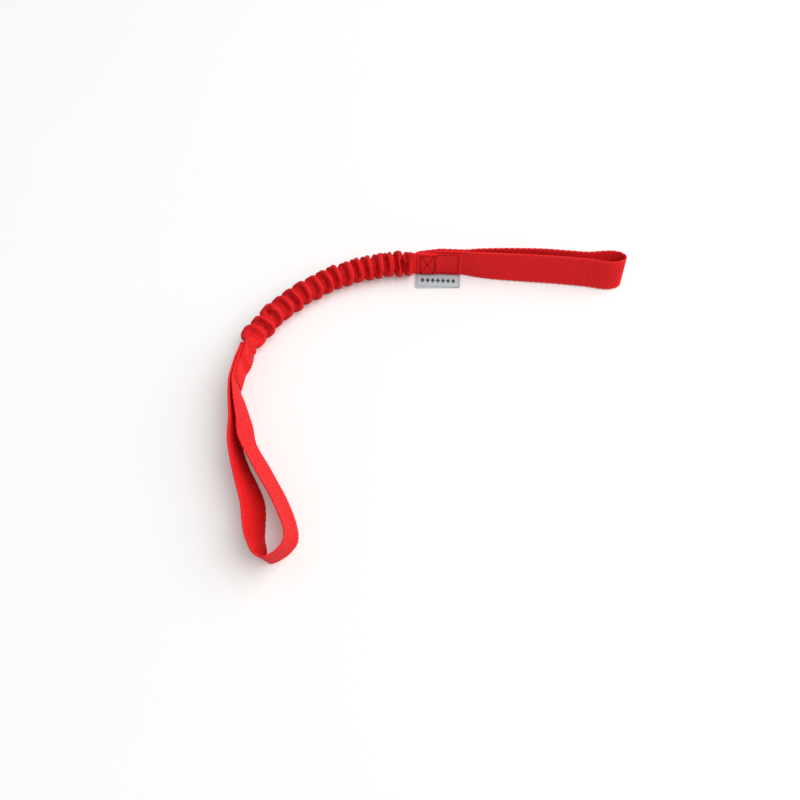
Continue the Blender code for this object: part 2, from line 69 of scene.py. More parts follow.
# Sizes that the solids share
WEBBING_WIDTH = 0.025
WEBBING_THICKNESS = 0.0016
STRAP_SETBACK = 0.002
STRAP_END_WIDTH = 0.0208
CLEARANCE = 0.0003
SLEEVE_WALL = 0.0009
TAB_WIDTH = 0.022
HAND_NECK_LENGTH = 0.0012
PLEAT_COUNT = 16
PLEAT_RADIUS = 0.0101
PLEAT_FLAT = 0.0005
PLEAT_SLANT = 0.0009
PLEAT_UNEVENNESS = 0.0004
PLEAT_SPREAD_SHARE = 0.20
PLEAT_TAPER_SHARE = 0.10
SLANT_TURN_SHARE = 1.9
BULGE_TURN_SHARE = 2.4
BUNGEE_LENGTH = 0.1629
BUNGEE_BEND = math.radians(66.6)
HAND_NECK_TURN = math.radians(2.2)
FAR_NECK_TURN = math.radians(16.2)
FAR_NECK_SHIFT = 0.0024
TOY_TURN = math.radians(-3)
ELASTIC_DIAMETER = 0.008
ELASTIC_TAIL_WIDTH = 0.014
ELASTIC_TAIL_THICKNESS = 0.0007
CROSS_LENGTH = 0.0112
BOX_SPACING = 0.0015
TAB_END_MARGIN = 0.0028
LABEL_LENGTH = 0.0375
LABEL_REACH = 0.0118
LABEL_SKEW = 0.0022
LABEL_THICKNESS = 0.0007
LABEL_SETBACK = 0.0025

# Sizes that follow the photograph, where the solids are plainer
FAR_NECK_LENGTH = 0.0015
HAND_NECK_BLEND = 0.0024
FAR_NECK_BLEND = 0.005
STITCH_HEIGHT = 0.0190
LABEL_CORNER = 0.0022

# The route of each strap: out, sideways, which layer, and the lean of its upper edge
HAND_ROUTE_SHARES = (
    (0.094, -0.155, -1, 0.00, 0.21),
    (0.200, -0.280, -1, 0.00, 0.30),
    (0.377, -0.370, -1, 0.00, 0.36),
    (0.584, -0.444, -1, 0.00, 0.38),
    (0.777, -0.570, -1, 0.00, 0.38),
    (0.912, -0.725, -1, 0.00, 0.37),
    (0.977, -0.580, -0.6, 0.01, 0.37),
    (1.000, -0.300, 0, 0.02, 0.37),
    (0.977, -0.040, 0.6, 0.01, 0.36),
    (0.925, 0.040, 1, 0.00, 0.36),
    (0.860, -0.010, 1, 0.00, 0.36),
    (0.774, -0.110, 1, 0.00, 0.35),
    (0.677, -0.050, 1, 0.00, 0.33),
    (0.500, 0.060, 1, 0.00, 0.30),
    (0.300, 0.090, 1, 0.00, 0.24),
    (0.113, 0.060, 1, 0.00, 0.17),
)
FAR_ROUTE_SHARES = (
    (0.086, -0.086, -1, 0.09, 0.15),
    (0.156, -0.162, -1, 0.13, 0.22),
    (0.231, -0.239, -1, 0.16, 0.27),
    (0.341, -0.331, -1, 0.20, 0.31),
    (0.467, -0.525, -1, 0.26, 0.32),
    (0.555, -0.655, -1, 0.25, 0.32),
    (0.646, -0.787, -1, 0.22, 0.31),
    (0.779, -0.938, -1, 0.14, 0.30),
    (0.870, -0.987, -1, 0.02, 0.24),
    (0.935, -0.940, -0.6, 0.03, 0.05),
    (0.982, -0.855, -0.3, 0.11, 0.00),
    (1.000, -0.790, 0, 0.15, 0.07),
    (0.978, -0.742, 0.3, 0.16, 0.18),
    (0.939, -0.728, 0.6, 0.15, 0.31),
    (0.883, -0.690, 1, 0.12, 0.38),
    (0.823, -0.668, 1, 0.11, 0.45),
    (0.734, -0.635, 1, 0.16, 0.51),
    (0.663, -0.583, 1, 0.24, 0.50),
    (0.580, -0.478, 1, 0.27, 0.41),
    (0.486, -0.345, 1, 0.21, 0.29),
    (0.376, -0.225, 1, 0.16, 0.20),
    (0.245, -0.150, 1, 0.12, 0.14),
    (0.090, -0.045, 1, 0.06, 0.09),
)

TAB_THICKNESS = 2 * SLEEVE_WALL + ELASTIC_TAIL_THICKNESS + 2 * CLEARANCE
TAB_MIDDLE = LABEL_THICKNESS + 2 * CLEARANCE + TAB_WIDTH / 2
TUBE_GIRTH = 2 * (TAB_WIDTH + TAB_THICKNESS)
STACK_THICKNESS = TAB_THICKNESS + 2 * (WEBBING_THICKNESS + CLEARANCE)
STRAP_SPACING = WEBBING_THICKNESS + CLEARANCE
BUNGEE_RADIUS = BUNGEE_LENGTH / BUNGEE_BEND
TAB_LAYER = TAB_THICKNESS / 2 - STACK_THICKNESS / 2
NEAR_LAYER = TAB_LAYER + TAB_THICKNESS / 2 + CLEARANCE + WEBBING_THICKNESS / 2
BACK_LAYER = NEAR_LAYER + STRAP_SPACING

# A loop with its tab: the tab is sunk at its mouth and along its seams by the last two sizes
Loop = namedtuple(
    "Loop", "name side lean tab_length cross_start length across route mouth_sunk seam_sunk"
)
HAND = Loop(
    "hand", 1, math.radians(7), 0.040, 0.0062, 0.173, 0.0135, HAND_ROUTE_SHARES, 0.0008, 0.00025
)
FAR = Loop(
    "far", -1, math.radians(3), 0.034, 0.0042, 0.1615, 0.069, FAR_ROUTE_SHARES, 0.0022, 0.00005
)

Frame = namedtuple("Frame", "place turn")

# Rings of the straps and tabs from one rib to the next, and the power that shapes the ribs
RINGS_PER_RIB = 8
RIB_POWER = 0.7


def joint_place(name):
    """Where a packed joint stands."""
    return np.array(next(j["pos_m"] for j in frame["joints"] if j["name"] == name), dtype=float)


# Sizes and colours that a user would change


class TugWebbing(bpy.types.PropertyGroup):
    """Ribbed nylon webbing of both straps and of the sleeve."""

    rib_pitch: FloatProperty(
        name="Rib pitch", description="Distance from one rib to the next along the strap",
        default=0.00232, min=0.0008, max=0.006, subtype="DISTANCE", unit="LENGTH", precision=5,
    )
    rib_depth: FloatProperty(
        name="Rib depth", description="Depth of the groove between two ribs",
        default=0.0002, min=0.0, max=0.0006, subtype="DISTANCE", unit="LENGTH", precision=5,
    )
    scallop: FloatProperty(
        name="Edge scallop", description="How far the woven edge swells at every second rib",
        default=0.00022, min=0.0, max=0.0008, subtype="DISTANCE", unit="LENGTH", precision=5,
    )
    edge_width: FloatProperty(
        name="Woven edge", description="Width of the tight band along each edge",
        default=0.0019, min=0.0, max=0.005, subtype="DISTANCE", unit="LENGTH", precision=5,
    )
    # The crest colour is a painted highlight on the ribs, and the groove colour is painted shade
    # between them
    crest: FloatVectorProperty(
        name="Crest colour", description="Colour of the ribs where they catch the light",
        default=(0.86, 0.0115, 0.014), subtype="COLOR", size=3, min=0.0, max=1.0,
    )
    groove: FloatVectorProperty(
        name="Groove colour", description="Colour of the yarn between the ribs",
        default=(0.58, 0.008, 0.011), subtype="COLOR", size=3, min=0.0, max=1.0,
    )


class TugSleeve(bpy.types.PropertyGroup):
    """Pleats of the gathered sleeve."""

    valley_radius: FloatProperty(
        name="Valley radius", description="Radius of the sleeve between two pleats",
        default=0.0054, min=0.005, max=0.009, subtype="DISTANCE", unit="LENGTH", precision=4,
    )
    crest_lean: FloatProperty(
        name="Crest lean", description="How far each crest is pushed over to the hand, in pleats",
        default=0.03, min=0.0, max=0.3, subtype="FACTOR",
    )
    crumple: FloatProperty(
        name="Crumple", description="How uneven the pleats are",
        default=0.0007, min=0.0, max=0.002, subtype="DISTANCE", unit="LENGTH", precision=5,
    )
    steps: IntProperty(
        name="Steps", description="Rings of the grid in one pleat", default=48, min=12, max=64,
    )
    sides: IntProperty(
        name="Sides", description="Points of the grid round the sleeve",
        default=88, min=16, max=128,
    )


class TugThread(bpy.types.PropertyGroup):
    """Sewing thread of the patches."""

    pitch: FloatProperty(
        name="Stitch pitch", description="Distance from one stitch to the next",
        default=0.0026, min=0.001, max=0.006, subtype="DISTANCE", unit="LENGTH", precision=5,
    )
    diameter: FloatProperty(
        name="Thread diameter", description="Thickness of the thread",
        default=0.0005, min=0.0002, max=0.001, subtype="DISTANCE", unit="LENGTH", precision=5,
    )
    hand_colour: FloatVectorProperty(
        name="Hand thread colour", description="Colour of the thread in the hand patch",
        default=(0.38, 0.005, 0.009), subtype="COLOR", size=3, min=0.0, max=1.0,
    )
    far_colour: FloatVectorProperty(
        name="Far thread colour", description="Colour of the thread in the far patch",
        default=(0.85, 0.014, 0.018), subtype="COLOR", size=3, min=0.0, max=1.0,
    )


class TugLabel(bpy.types.PropertyGroup):
    """Folded woven label under the hand patch."""

    cloth: FloatVectorProperty(
        name="Cloth colour", description="Ground of the label",
        default=(0.55, 0.646, 0.68), subtype="COLOR", size=3, min=0.0, max=1.0,
    )
    motif: FloatVectorProperty(
        name="Motif colour", description="Row of lozenges",
        default=(0.03, 0.1, 0.06), subtype="COLOR", size=3, min=0.0, max=1.0,
    )
    lozenges: IntProperty(
        name="Lozenges", description="How many lozenges stand in the row", default=7, min=1, max=30,
    )


class TugStage(bpy.types.PropertyGroup):
    """Floor and light."""

    floor: FloatVectorProperty(
        name="Floor colour", description="Colour of the floor",
        default=(0.8, 0.8, 0.795), subtype="COLOR", size=3, min=0.0, max=1.0,
    )
    key: FloatProperty(
        name="Key light", description="Power of the large lamp",
        default=264.0, min=0.0, max=1000.0, subtype="POWER", unit="POWER",
    )
    fill: FloatProperty(
        name="Fill light", description="Strength of the soft light from all round",
        default=0.42, min=0.0, max=3.0,
    )


class TugSettings(bpy.types.PropertyGroup):
    """All settings of the toy."""

    webbing: PointerProperty(type=TugWebbing)
    sleeve: PointerProperty(type=TugSleeve)
    thread: PointerProperty(type=TugThread)
    label: PointerProperty(type=TugLabel)
    stage: PointerProperty(type=TugStage)


def settings():
    """The toy's settings in the open scene."""
    return bpy.context.scene.tug


# Meshes from grids


def quad_corners(rows, columns, closed=True):
    """The quads of a grid of points, by their numbers, and the rows and columns of their corners.

    Each quad joins four neighbours of the grid. Where the grid is closed round its columns, the
    last column is joined to the first one.
    """
    wide = columns if closed else columns - 1
    i, j = np.meshgrid(np.arange(rows - 1), np.arange(wide), indexing="ij")
    here, below, following = i * columns, (i + 1) * columns, (j + 1) % columns
    quads = np.stack([here + j, here + following, below + following, below + j], -1)
    return quads.reshape(-1, 4), ((i, j), (i, j + 1), (i + 1, j + 1), (i + 1, j))


def new_piece(name, points, corners, counts, uv, surface, attributes=None):
    """An object with a smooth mesh: its points, the corners of all faces and how many each has."""
    mesh = bpy.data.meshes.new(name)
    mesh.vertices.add(points.size // 3)
    mesh.vertices.foreach_set("co", points.reshape(-1).astype(np.float32))
    mesh.loops.add(len(corners))
    mesh.loops.foreach_set("vertex_index", corners.astype(np.int32))
    mesh.polygons.add(len(counts))
    starts = np.concatenate([[0], np.cumsum(counts)[:-1]])
    mesh.polygons.foreach_set("loop_start", starts.astype(np.int32))
    mesh.polygons.foreach_set("use_smooth", np.ones(len(counts), dtype=bool))
    layer = mesh.uv_layers.new(name="weave")
    layer.uv.foreach_set("vector", uv.astype(np.float32).ravel())
    for key, values in (attributes or {}).items():
        held = mesh.attributes.new(key, "FLOAT", "POINT")
        spread = np.broadcast_to(values, points.shape[:2])
        held.data.foreach_set("value", spread.astype(np.float32).ravel())
    mesh.update(calc_edges=True)
    mesh.validate()
    mesh.materials.append(surface)
    made = bpy.data.objects.new(name, mesh)
    bpy.context.scene.collection.objects.link(made)
    return made


def lattice(
    name, grid, uv, surface, attributes=None, closed=True, outward=True, caps=(False, False)
):
    """A mesh from a grid of points: rows by columns, closed round the columns if wanted.

    uv has one column more than the grid where it is closed, so that the pattern runs on over the
    seam. outward turns the faces over where it is false. caps closes the first and the last row.
    """
    rows, columns = grid.shape[:2]
    quads, places = quad_corners(rows, columns, closed)
    corner_uv = np.stack([uv[a, b] for a, b in places], 2).reshape(-1, 4, 2)
    if not outward:
        quads = quads[:, ::-1]
        corner_uv = corner_uv[:, ::-1]
    corners = quads.ravel()
    counts = np.full(len(quads), 4)
    all_uv = corner_uv.reshape(-1, 2)
    for at_end, wanted in enumerate(caps):
        if not wanted:
            continue
        ring = np.arange(columns) + at_end * (rows - 1) * columns
        if (at_end == 1) != outward:
            ring = ring[::-1]
        row = -1 if at_end else 0
        corners = np.concatenate([corners, ring])
        counts = np.append(counts, columns)
        all_uv = np.concatenate([all_uv, np.repeat(uv[row, :1], columns, axis=0)])
    return new_piece(name, grid, corners, counts, all_uv, surface, attributes)


def stacked(name, blocks, uv_blocks, surface, outward=True):
    """One mesh from many small grids of the same size, such as a row of stitches."""
    count, rows, columns = blocks.shape[:3]
    one, places = quad_corners(rows, columns)
    corner_uv = np.stack([uv_blocks[:, a, b] for a, b in places], -2).reshape(-1, 4, 2)
    quads = (one[None] + np.arange(count)[:, None, None] * rows * columns).reshape(-1, 4)
    if not outward:
        quads = quads[:, ::-1]
        corner_uv = corner_uv[:, ::-1]
    return new_piece(name, blocks, quads.ravel(), np.full(len(quads), 4), corner_uv, surface)


def grid_normals(grid):
    """Unit normals of a closed grid: its slope down the rows crossed with that along columns."""
    along_columns = np.roll(grid, -1, axis=1) - np.roll(grid, 1, axis=1)
    normal = np.cross(np.gradient(grid, axis=0), along_columns)
    return normal / np.maximum(np.linalg.norm(normal, axis=-1), 1e-12)[..., None]


def row_lengths(grid):
    """Length of the cloth at each row: the mean distance from row to row, added up."""
    steps = np.linalg.norm(np.diff(grid, axis=0), axis=-1).mean(axis=1)
    return np.concatenate([[0], np.cumsum(steps)])


def full_turn(count):
    """Angles of evenly spaced points round a closed section."""
    return 2 * math.pi * np.arange(count) / count


def smooth_share(share):
    """0 below 0 and 1 above 1, with a smooth rise between: 3 s squared less 2 s cubed."""
    share = np.clip(share, 0, 1)
    return share * share * (3 - 2 * share)


def bell(distance, width):
    """1 at no distance, falling off on both sides as e to the minus (distance / width) squared."""
    return np.exp(-((distance / width) ** 2))


def cubic_shares(t):
    """Shares at t from 0 to 1 of the first value and slope and the last value and slope of a cubic.

    The cubic is the sum of the first three by their shares, less the last slope by its own.
    """
    return (1 + 2 * t) * (1 - t) ** 2, t * (1 - t) ** 2, t * t * (3 - 2 * t), t * t * (1 - t)


def rib_profile(phase):
    """Height of the ribs, 1 on a crest and 0 in a groove.

    It is the size of a sine to a power below 1, so crests are round and grooves are narrow.
    """
    return np.abs(np.sin(math.pi * phase)) ** RIB_POWER


def turned(points, place, turn):
    """Points of a frame on the floor, turned about +Z and set at their place."""
    sine, cosine = math.sin(turn), math.cos(turn)
    x = cosine * points[..., 0] - sine * points[..., 1]
    y = sine * points[..., 0] + cosine * points[..., 1]
    return np.stack([x, y, points[..., 2]], -1) + place


# Places of the toy


def arc_heading(distance):
    """Heading of the gathered part: it turns evenly along its arc."""
    return math.pi + HAND_NECK_TURN + distance / BUNGEE_RADIUS


def arc_point(distance):
    """Middle of the gathered part seen from above: a circle's arc from the hand neck."""
    start = arc_heading(0)
    heading = arc_heading(distance)
    along = BUNGEE_RADIUS * (np.sin(heading) - math.sin(start))
    across = -BUNGEE_RADIUS * (np.cos(heading) - math.cos(start))
    return np.stack([along, across], -1)


def hand_frame():
    """The hand frame in the toy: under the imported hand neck, along the hand loop."""
    return Frame(joint_place("bungee_swing") * (1, 1, 0), TOY_TURN)


def far_in_hand():
    """The far frame in the hand frame: set to the left of the arc's end, and turned on."""
    heading = arc_heading(BUNGEE_LENGTH)
    left = np.array([-math.sin(heading), math.cos(heading)])
    place = arc_point(BUNGEE_LENGTH) + FAR_NECK_SHIFT * left
    return Frame(np.array([*place, 0.0]), heading + FAR_NECK_TURN)


def loop_frame(loop):
    """A loop's frame in the toy."""
    hand = hand_frame()
    if loop is HAND:
        return hand
    far = far_in_hand()
    return Frame(turned(far.place, hand.place, hand.turn), hand.turn + far.turn)


def in_toy(points, loop):
    """Points of a loop's frame, in the toy's own place."""
    place = loop_frame(loop)
    return turned(points, place.place, place.turn)


def stack_points(loop, along, up, through):
    """Points of the sewn layers: out along the loop, up the leaning face, and through it."""
    sine, cosine = math.sin(loop.lean), math.cos(loop.lean)
    across = (up - TAB_MIDDLE) * sine + through * cosine
    height = up * cosine - through * sine
    return np.stack(np.broadcast_arrays(along, loop.side * across, height), -1)


def floor_across(loop, through):
    """How far across from its frame a sewn layer meets the floor."""
    return through / math.cos(loop.lean) - TAB_MIDDLE * math.sin(loop.lean)


# Straps

# A sewn end keeps its full width up to this share of the tab, and its cut corners are rounded off
FULL_WIDTH_SHARE = 0.55
CUT_CORNER_HEIGHT = 0.0014
CUT_CORNER_LENGTH = 0.002

# The same edge share gives a painted highlight along both edges in the webbing's colour
# The woven edge fades into the face from this share of its width on, over another share of it
EDGE_FADE_START, EDGE_FADE = 0.7, 0.6

# Ribs are shallower by this share in the woven edge, and its swelling dies out within this width
EDGE_RIB_LOSS = 0.35
SWELL_WIDTH = 0.0012


def strap_stations(loop):
    """Places along a strap: bottom middle, lean of its upper edge, and width."""
    between = (NEAR_LAYER + BACK_LAYER) / 2
    route = np.array(loop.route)
    through = between + route[:, 2] * STRAP_SPACING / 2
    across = floor_across(loop, through) + route[:, 1] * loop.across
    along = loop.tab_length + route[:, 0] * (loop.length - loop.tab_length)
    width = np.full(len(route), WEBBING_WIDTH)
    free = np.stack([along, across, route[:, 3], route[:, 4], width], -1)
    sewn = [
        [loop.tab_length, floor_across(loop, layer), 0, math.sin(loop.lean), WEBBING_WIDTH]
        for layer in (NEAR_LAYER, BACK_LAYER)
    ]
    return np.array([sewn[0], *free, sewn[1]])


def strap_curve(loop, finely=48):
    """The strap's whole route as one dense row of stations.

    Between two stations each value is the cubic that has their values and slopes; a slope is the
    step between the two neighbours over the length between them. The sewn ends are straight, and
    draw in to the width of the cut end.
    """
    stations = strap_stations(loop)
    chords = np.linalg.norm(np.diff(stations[:, :2], axis=0), axis=1)
    spans = np.concatenate([[0], np.cumsum(chords)])
    slopes = np.empty_like(stations)
    slopes[1:-1] = (stations[2:] - stations[:-2]) / (spans[2:] - spans[:-2])[:, None]
    slopes[0] = (1, 0, 0, 0, 0)
    slopes[-1] = (-1, 0, 0, 0, 0)
    t = (np.arange(finely) / finely)[None, :, None]
    chord = chords[:, None, None]
    first, first_slope, last, last_slope = cubic_shares(t)
    start = first * stations[:-1, None] + first_slope * chord * slopes[:-1, None]
    finish = last * stations[1:, None] - last_slope * chord * slopes[1:, None]
    free = np.concatenate([(start + finish).reshape(-1, 5), stations[-1:]])
    shares = np.linspace(0, 1, finely)[:, None]
    ends = []
    for end in (free[0], free[-1]):
        full = end.copy()
        full[0] = FULL_WIDTH_SHARE * loop.tab_length
        cut = end.copy()
        cut[0] = STRAP_SETBACK
        cut[4] = STRAP_END_WIDTH
        widening = cut + shares * (full - cut)
        even = full + shares[1:-1] * (end - full)
        ends.append(np.concatenate([widening, even]))
    return np.concatenate([ends[0], free, ends[1][::-1]])


def resampled(rows, step):
    """Rows of a route set evenly along its length, and the length at each."""
    chords = np.linalg.norm(np.diff(rows[:, :2], axis=0), axis=1)
    lengths = np.concatenate([[0], np.cumsum(chords)])
    wanted = np.linspace(0, lengths[-1], int(round(lengths[-1] / step)) + 1)
    return np.stack([np.interp(wanted, lengths, column) for column in rows.T], -1), wanted


def webbing_section(width, edge_width):
    """The webbing's section, row by row: across it from one edge, and through it from -1 to 1.

    A half-round edge, a flat face up to the other edge, its half-round edge, and the back face
    down again. Points stand closer together near the edges.
    """
    half = WEBBING_THICKNESS / 2
    turn = np.linspace(-math.pi / 2, math.pi / 2, 7)
    near = half - half * np.cos(turn) + 0 * width
    flats = np.array([0.0011, 0.0015, edge_width, edge_width * 1.3, 0.0045, 0.0085]) + 0 * width
    middle = width / 2
    across = [
        near, flats, middle, (width - flats)[:, ::-1],
        width - near, width - flats, middle, flats[:, ::-1],
    ]
    full = np.ones(flats.shape[1])
    through = [np.sin(turn), full, [1], full, np.sin(turn)[::-1], -full, [-1], -full]
    return np.concatenate(across, axis=1), np.concatenate(through)[None]


def strap_surface(loop, look):
    """The ribbed strap as a grid, with its weave and rib height.

    A flat section with half-round edges is carried along the route, level on the floor and
    leaning with the strap. Ribs run across it: the faces sink between them, and the woven edge
    swells at every second rib.
    """
    rows, length = resampled(strap_curve(loop), look.rib_pitch / RINGS_PER_RIB)
    run = np.gradient(rows[:, :2], axis=0)
    run /= np.linalg.norm(run, axis=1)[:, None]
    rise = np.sqrt(1 - rows[:, 2] ** 2 - rows[:, 3] ** 2)
    up = np.stack([rows[:, 2], rows[:, 3], rise], -1)
    tangent = np.stack([run[:, 0], run[:, 1], np.zeros(len(run))], -1)
    normal = np.cross(up, tangent)
    normal /= np.linalg.norm(normal, axis=1)[:, None]
    half = WEBBING_THICKNESS / 2
    to_cut = np.minimum(length, length[-1] - length)[:, None]
    corner = CUT_CORNER_HEIGHT * np.clip(1 - to_cut / CUT_CORNER_LENGTH, 0, 1) ** 2
    width = rows[:, 4:] - corner
    across, sides = webbing_section(width, look.edge_width)
    phase = length / look.rib_pitch
    rib = rib_profile(phase)[:, None]
    from_edge = np.minimum(across, width - across)
    into_face = from_edge - EDGE_FADE_START * look.edge_width
    edge = 1 - smooth_share(into_face / (EDGE_FADE * look.edge_width))
    depth = look.rib_depth * (1 - rib) * (1 - EDGE_RIB_LOSS * edge)
    through = sides * (half - depth)
    fading = np.clip(1 - from_edge / SWELL_WIDTH, 0, 1)
    swell = look.scallop * np.cos(math.pi * phase)[:, None] * fading
    outwards = np.where(across < width / 2, -1, 1)
    across = across + outwards * swell
    on_floor = np.stack([rows[:, 0], rows[:, 1], 0 * rows[:, 0]], -1)[:, None]
    points = on_floor + across[..., None] * up[:, None] + through[..., None] * normal[:, None]
    points[..., 2] += half * np.abs(normal[:, None, 2])
    points = points * (1, loop.side, 1)
    points[..., 2] = np.maximum(points[..., 2], 0)
    around = np.concatenate([across, across[:, :1]], axis=1)
    uv = np.stack([around, np.broadcast_to(length[:, None], around.shape)], -1)
    return in_toy(points, loop), uv, {"rib": rib, "edge": edge}


# Sleeve

# A tab's outer face sinks by this much beside the neck, again from under the crossed box on, and
# last by its own amount up to the mouth, each time over a length along the tab
TAB_SINK = 0.0004
NECK_SINK_LENGTH = 0.005
CROSS_SINK_START, CROSS_SINK_LENGTH = 0.006, 0.008
MOUTH_SINK_LENGTH = 0.006

# Two soft dents cross the neck's end: place, width and depth
TAB_DENTS = ((0.0022, 0.0009, 0.0010), (0.0044, 0.0009, 0.0006))

# The inner face fills this share of the clearance to the strap, after this length
RESTING_SHARE, RESTING_LENGTH = 0.8, 0.003

# The mouth is cut in waves with a finer fray on them, which die out along the tab by a power of
# the way to the mouth; it can be seen into as far as its depth
MOUTH_WAVE = 0.00025
MOUTH_FRAY = 0.0002
MOUTH_POWER = 6
MOUTH_DEPTH = 0.005

# Each box is sewn a little off the tab's middle, and its seams pull the face in over this width
SEAM_SHIFTS = {"cross": -0.0003, "box": 0.0007}
SEAM_WIDTH = 0.0008

# Waves of the unevenness round the sleeve: how many, and how high
UNEVEN_WAVES = ((1, 0.45), (2, 0.35), (3, 0.25), (5, 0.12))


def roundness(distance):
    """0 where the sleeve is pressed flat, 1 where it is round."""
    from_hand = distance / HAND_NECK_BLEND
    from_far = (BUNGEE_LENGTH - distance) / FAR_NECK_BLEND
    return smooth_share(np.minimum(from_hand, from_far))


def tab_place(loop):
    """The tab's middle at its neck, its heading along the sleeve and its lean, in hand frame."""
    place = stack_points(loop, 0.0, TAB_MIDDLE, TAB_LAYER)
    if loop is HAND:
        return place, math.pi, loop.lean
    far = far_in_hand()
    return turned(place, far.place, far.turn), far.turn, loop.lean


def full_radius(distance):
    """Radius out to the crests: the gathered part tapers a little towards the far neck."""
    return PLEAT_RADIUS * (1 - PLEAT_TAPER_SHARE * (distance / BUNGEE_LENGTH - 0.5))


def sleeve_frame(distance, loop):
    """Middle, heading and lean at each distance: the arc, drawn over to the tab at its neck."""
    at_end = 0.0 if loop is HAND else BUNGEE_LENGTH
    place, heading, lean = tab_place(loop)
    flat = 1 - roundness(distance)
    kink = math.remainder(heading - arc_heading(at_end), 2 * math.pi)
    low = np.array([*arc_point(at_end), full_radius(at_end) - PLEAT_FLAT])
    height = full_radius(distance) - PLEAT_FLAT
    middle = np.concatenate([arc_point(distance), height[..., None]], -1)
    middle = middle + flat[..., None] * (place - low)
    return middle, arc_heading(distance) + flat * kink, flat * lean


def pressed_outline(angle, half_width, half_thickness):
    """A tube pressed flat: two flat faces and two half-round edges, by the angle round it."""
    corner = np.stack([np.cos(angle), np.sin(angle)], -1)
    square = corner / np.abs(corner).max(axis=-1)[..., None]
    on_face = np.abs(square[..., 0]) > 0.99999
    straight = half_width - half_thickness
    turn = square[..., 0] * math.pi / 2
    rounded = np.sign(square[..., 1]) * (straight + half_thickness * np.cos(turn))
    flat = np.sign(square[..., 0]) * half_thickness
    through = np.where(on_face, flat, half_thickness * np.sin(turn))
    up = np.where(on_face, square[..., 1] * straight, rounded)
    return through, up


def placed_section(middle, heading, lean, through, up):
    """Points of a section that stands upright across its heading, leaning with the tab."""
    flat = np.zeros_like(heading)
    left = np.stack([-np.sin(heading), np.cos(heading), flat], -1)
    upright = np.array([0.0, 0.0, 1.0])
    sine, cosine = np.sin(lean)[..., None], np.cos(lean)[..., None]
    sideways = cosine * left + sine * upright
    upwards = cosine * upright - sine * left
    return middle + sideways * through[..., None] + upwards * up[..., None]


def sleeve_points(distance, angle, radius, loop, width=TAB_WIDTH, thickness=TAB_THICKNESS):
    """Points of the sleeve: a circle of the given radius, turned into a pressed tube at a neck."""
    distance, angle, radius = np.broadcast_arrays(distance, angle, radius)
    middle, heading, lean = sleeve_frame(distance, loop)
    share = roundness(distance)
    through, up = pressed_outline(angle, width / 2, thickness / 2)
    through = share * radius * np.cos(angle) + (1 - share) * through
    up = share * radius * np.sin(angle) + (1 - share) * up
    return placed_section(middle, heading, lean, through, up)


def tab_faces(loop, along):
    """How far the tab's outer and inner faces lie from its middle.

    Full thickness at the neck, thinner under the crossed box, and two walls pressed together at
    the mouth; the inner face rests against the strap. Each change is a smooth rise along the tab,
    and the dents at the neck's end are bells.
    """
    from_cross = along - loop.cross_start
    sunk = TAB_SINK * smooth_share(along / NECK_SINK_LENGTH)
    sunk = sunk + TAB_SINK * smooth_share((from_cross - CROSS_SINK_START) / CROSS_SINK_LENGTH)
    sunk = sunk + loop.mouth_sunk * smooth_share((from_cross - CROSS_LENGTH) / MOUTH_SINK_LENGTH)
    for place, width, depth in TAB_DENTS:
        sunk = sunk + depth * bell(along - place, width)
    outer = TAB_THICKNESS / 2 - sunk
    resting = RESTING_SHARE * CLEARANCE * smooth_share(along / RESTING_LENGTH)
    inner = TAB_THICKNESS / 2 + resting
    return outer, inner


def tab_points(loop, along, angle, width=TAB_WIDTH, thickness=None, within=0.0):
    """Points of the pressed tube along the tab, at a distance out from its neck.

    Its thickness is that of the tab there, less within, or at most four fifths, on each side,
    unless it is given.
    """
    along, angle = np.broadcast_arrays(along, angle)
    place, heading, lean = tab_place(loop)
    out = (1 if loop is FAR else -1) * along
    middle = place + out[..., None] * np.array([math.cos(heading), math.sin(heading), 0])
    outer, inner = tab_faces(loop, along)
    half = (outer + inner) / 2
    half = half - np.minimum(within, 0.8 * half) if thickness is None else thickness / 2
    through, up = pressed_outline(angle, width / 2, half)
    through = through + (outer - inner) / 2
    return placed_section(middle, heading + 0 * along, lean + 0 * along, through, up)


def uneven(index, angle, seed):
    """A smooth unevenness round the sleeve, other for each pleat, between about -1 and 1.

    A sum of waves, each of which starts at its own turn for each pleat and seed.
    """
    total = 0
    for wave, size in UNEVEN_WAVES:
        start = 12.9898 * np.sin(index * 1.7 + wave * 2.3 + seed)
        total = total + size * np.sin(wave * angle + start)
    return total


# The first valley lies this much nearer the hand neck, and the valleys slant and wander fully from
# this many pleats in from either end
FIRST_VALLEY_SHIFT = 0.0009
SLANT_FADE = 1.5


def valley_place(index, angle, crumple):
    """Distance along the arc of a valley between pleats: each slants and wanders its own way.

    The pleats grow longer by even steps from the hand to the far end.
    """
    share = index / PLEAT_COUNT
    share = share + PLEAT_SPREAD_SHARE * share * (share - 1)
    place = HAND_NECK_LENGTH + share * (BUNGEE_LENGTH - HAND_NECK_LENGTH - FAR_NECK_LENGTH)
    inner = smooth_share(np.minimum(index, PLEAT_COUNT - index) / SLANT_FADE)
    wander = crumple * inner * uneven(index, angle, seed=0.0)
    place = place - FIRST_VALLEY_SHIFT * (1 - smooth_share(index))
    return place + PLEAT_SLANT * inner * np.cos(angle - SLANT_TURN_SHARE * index) + wander


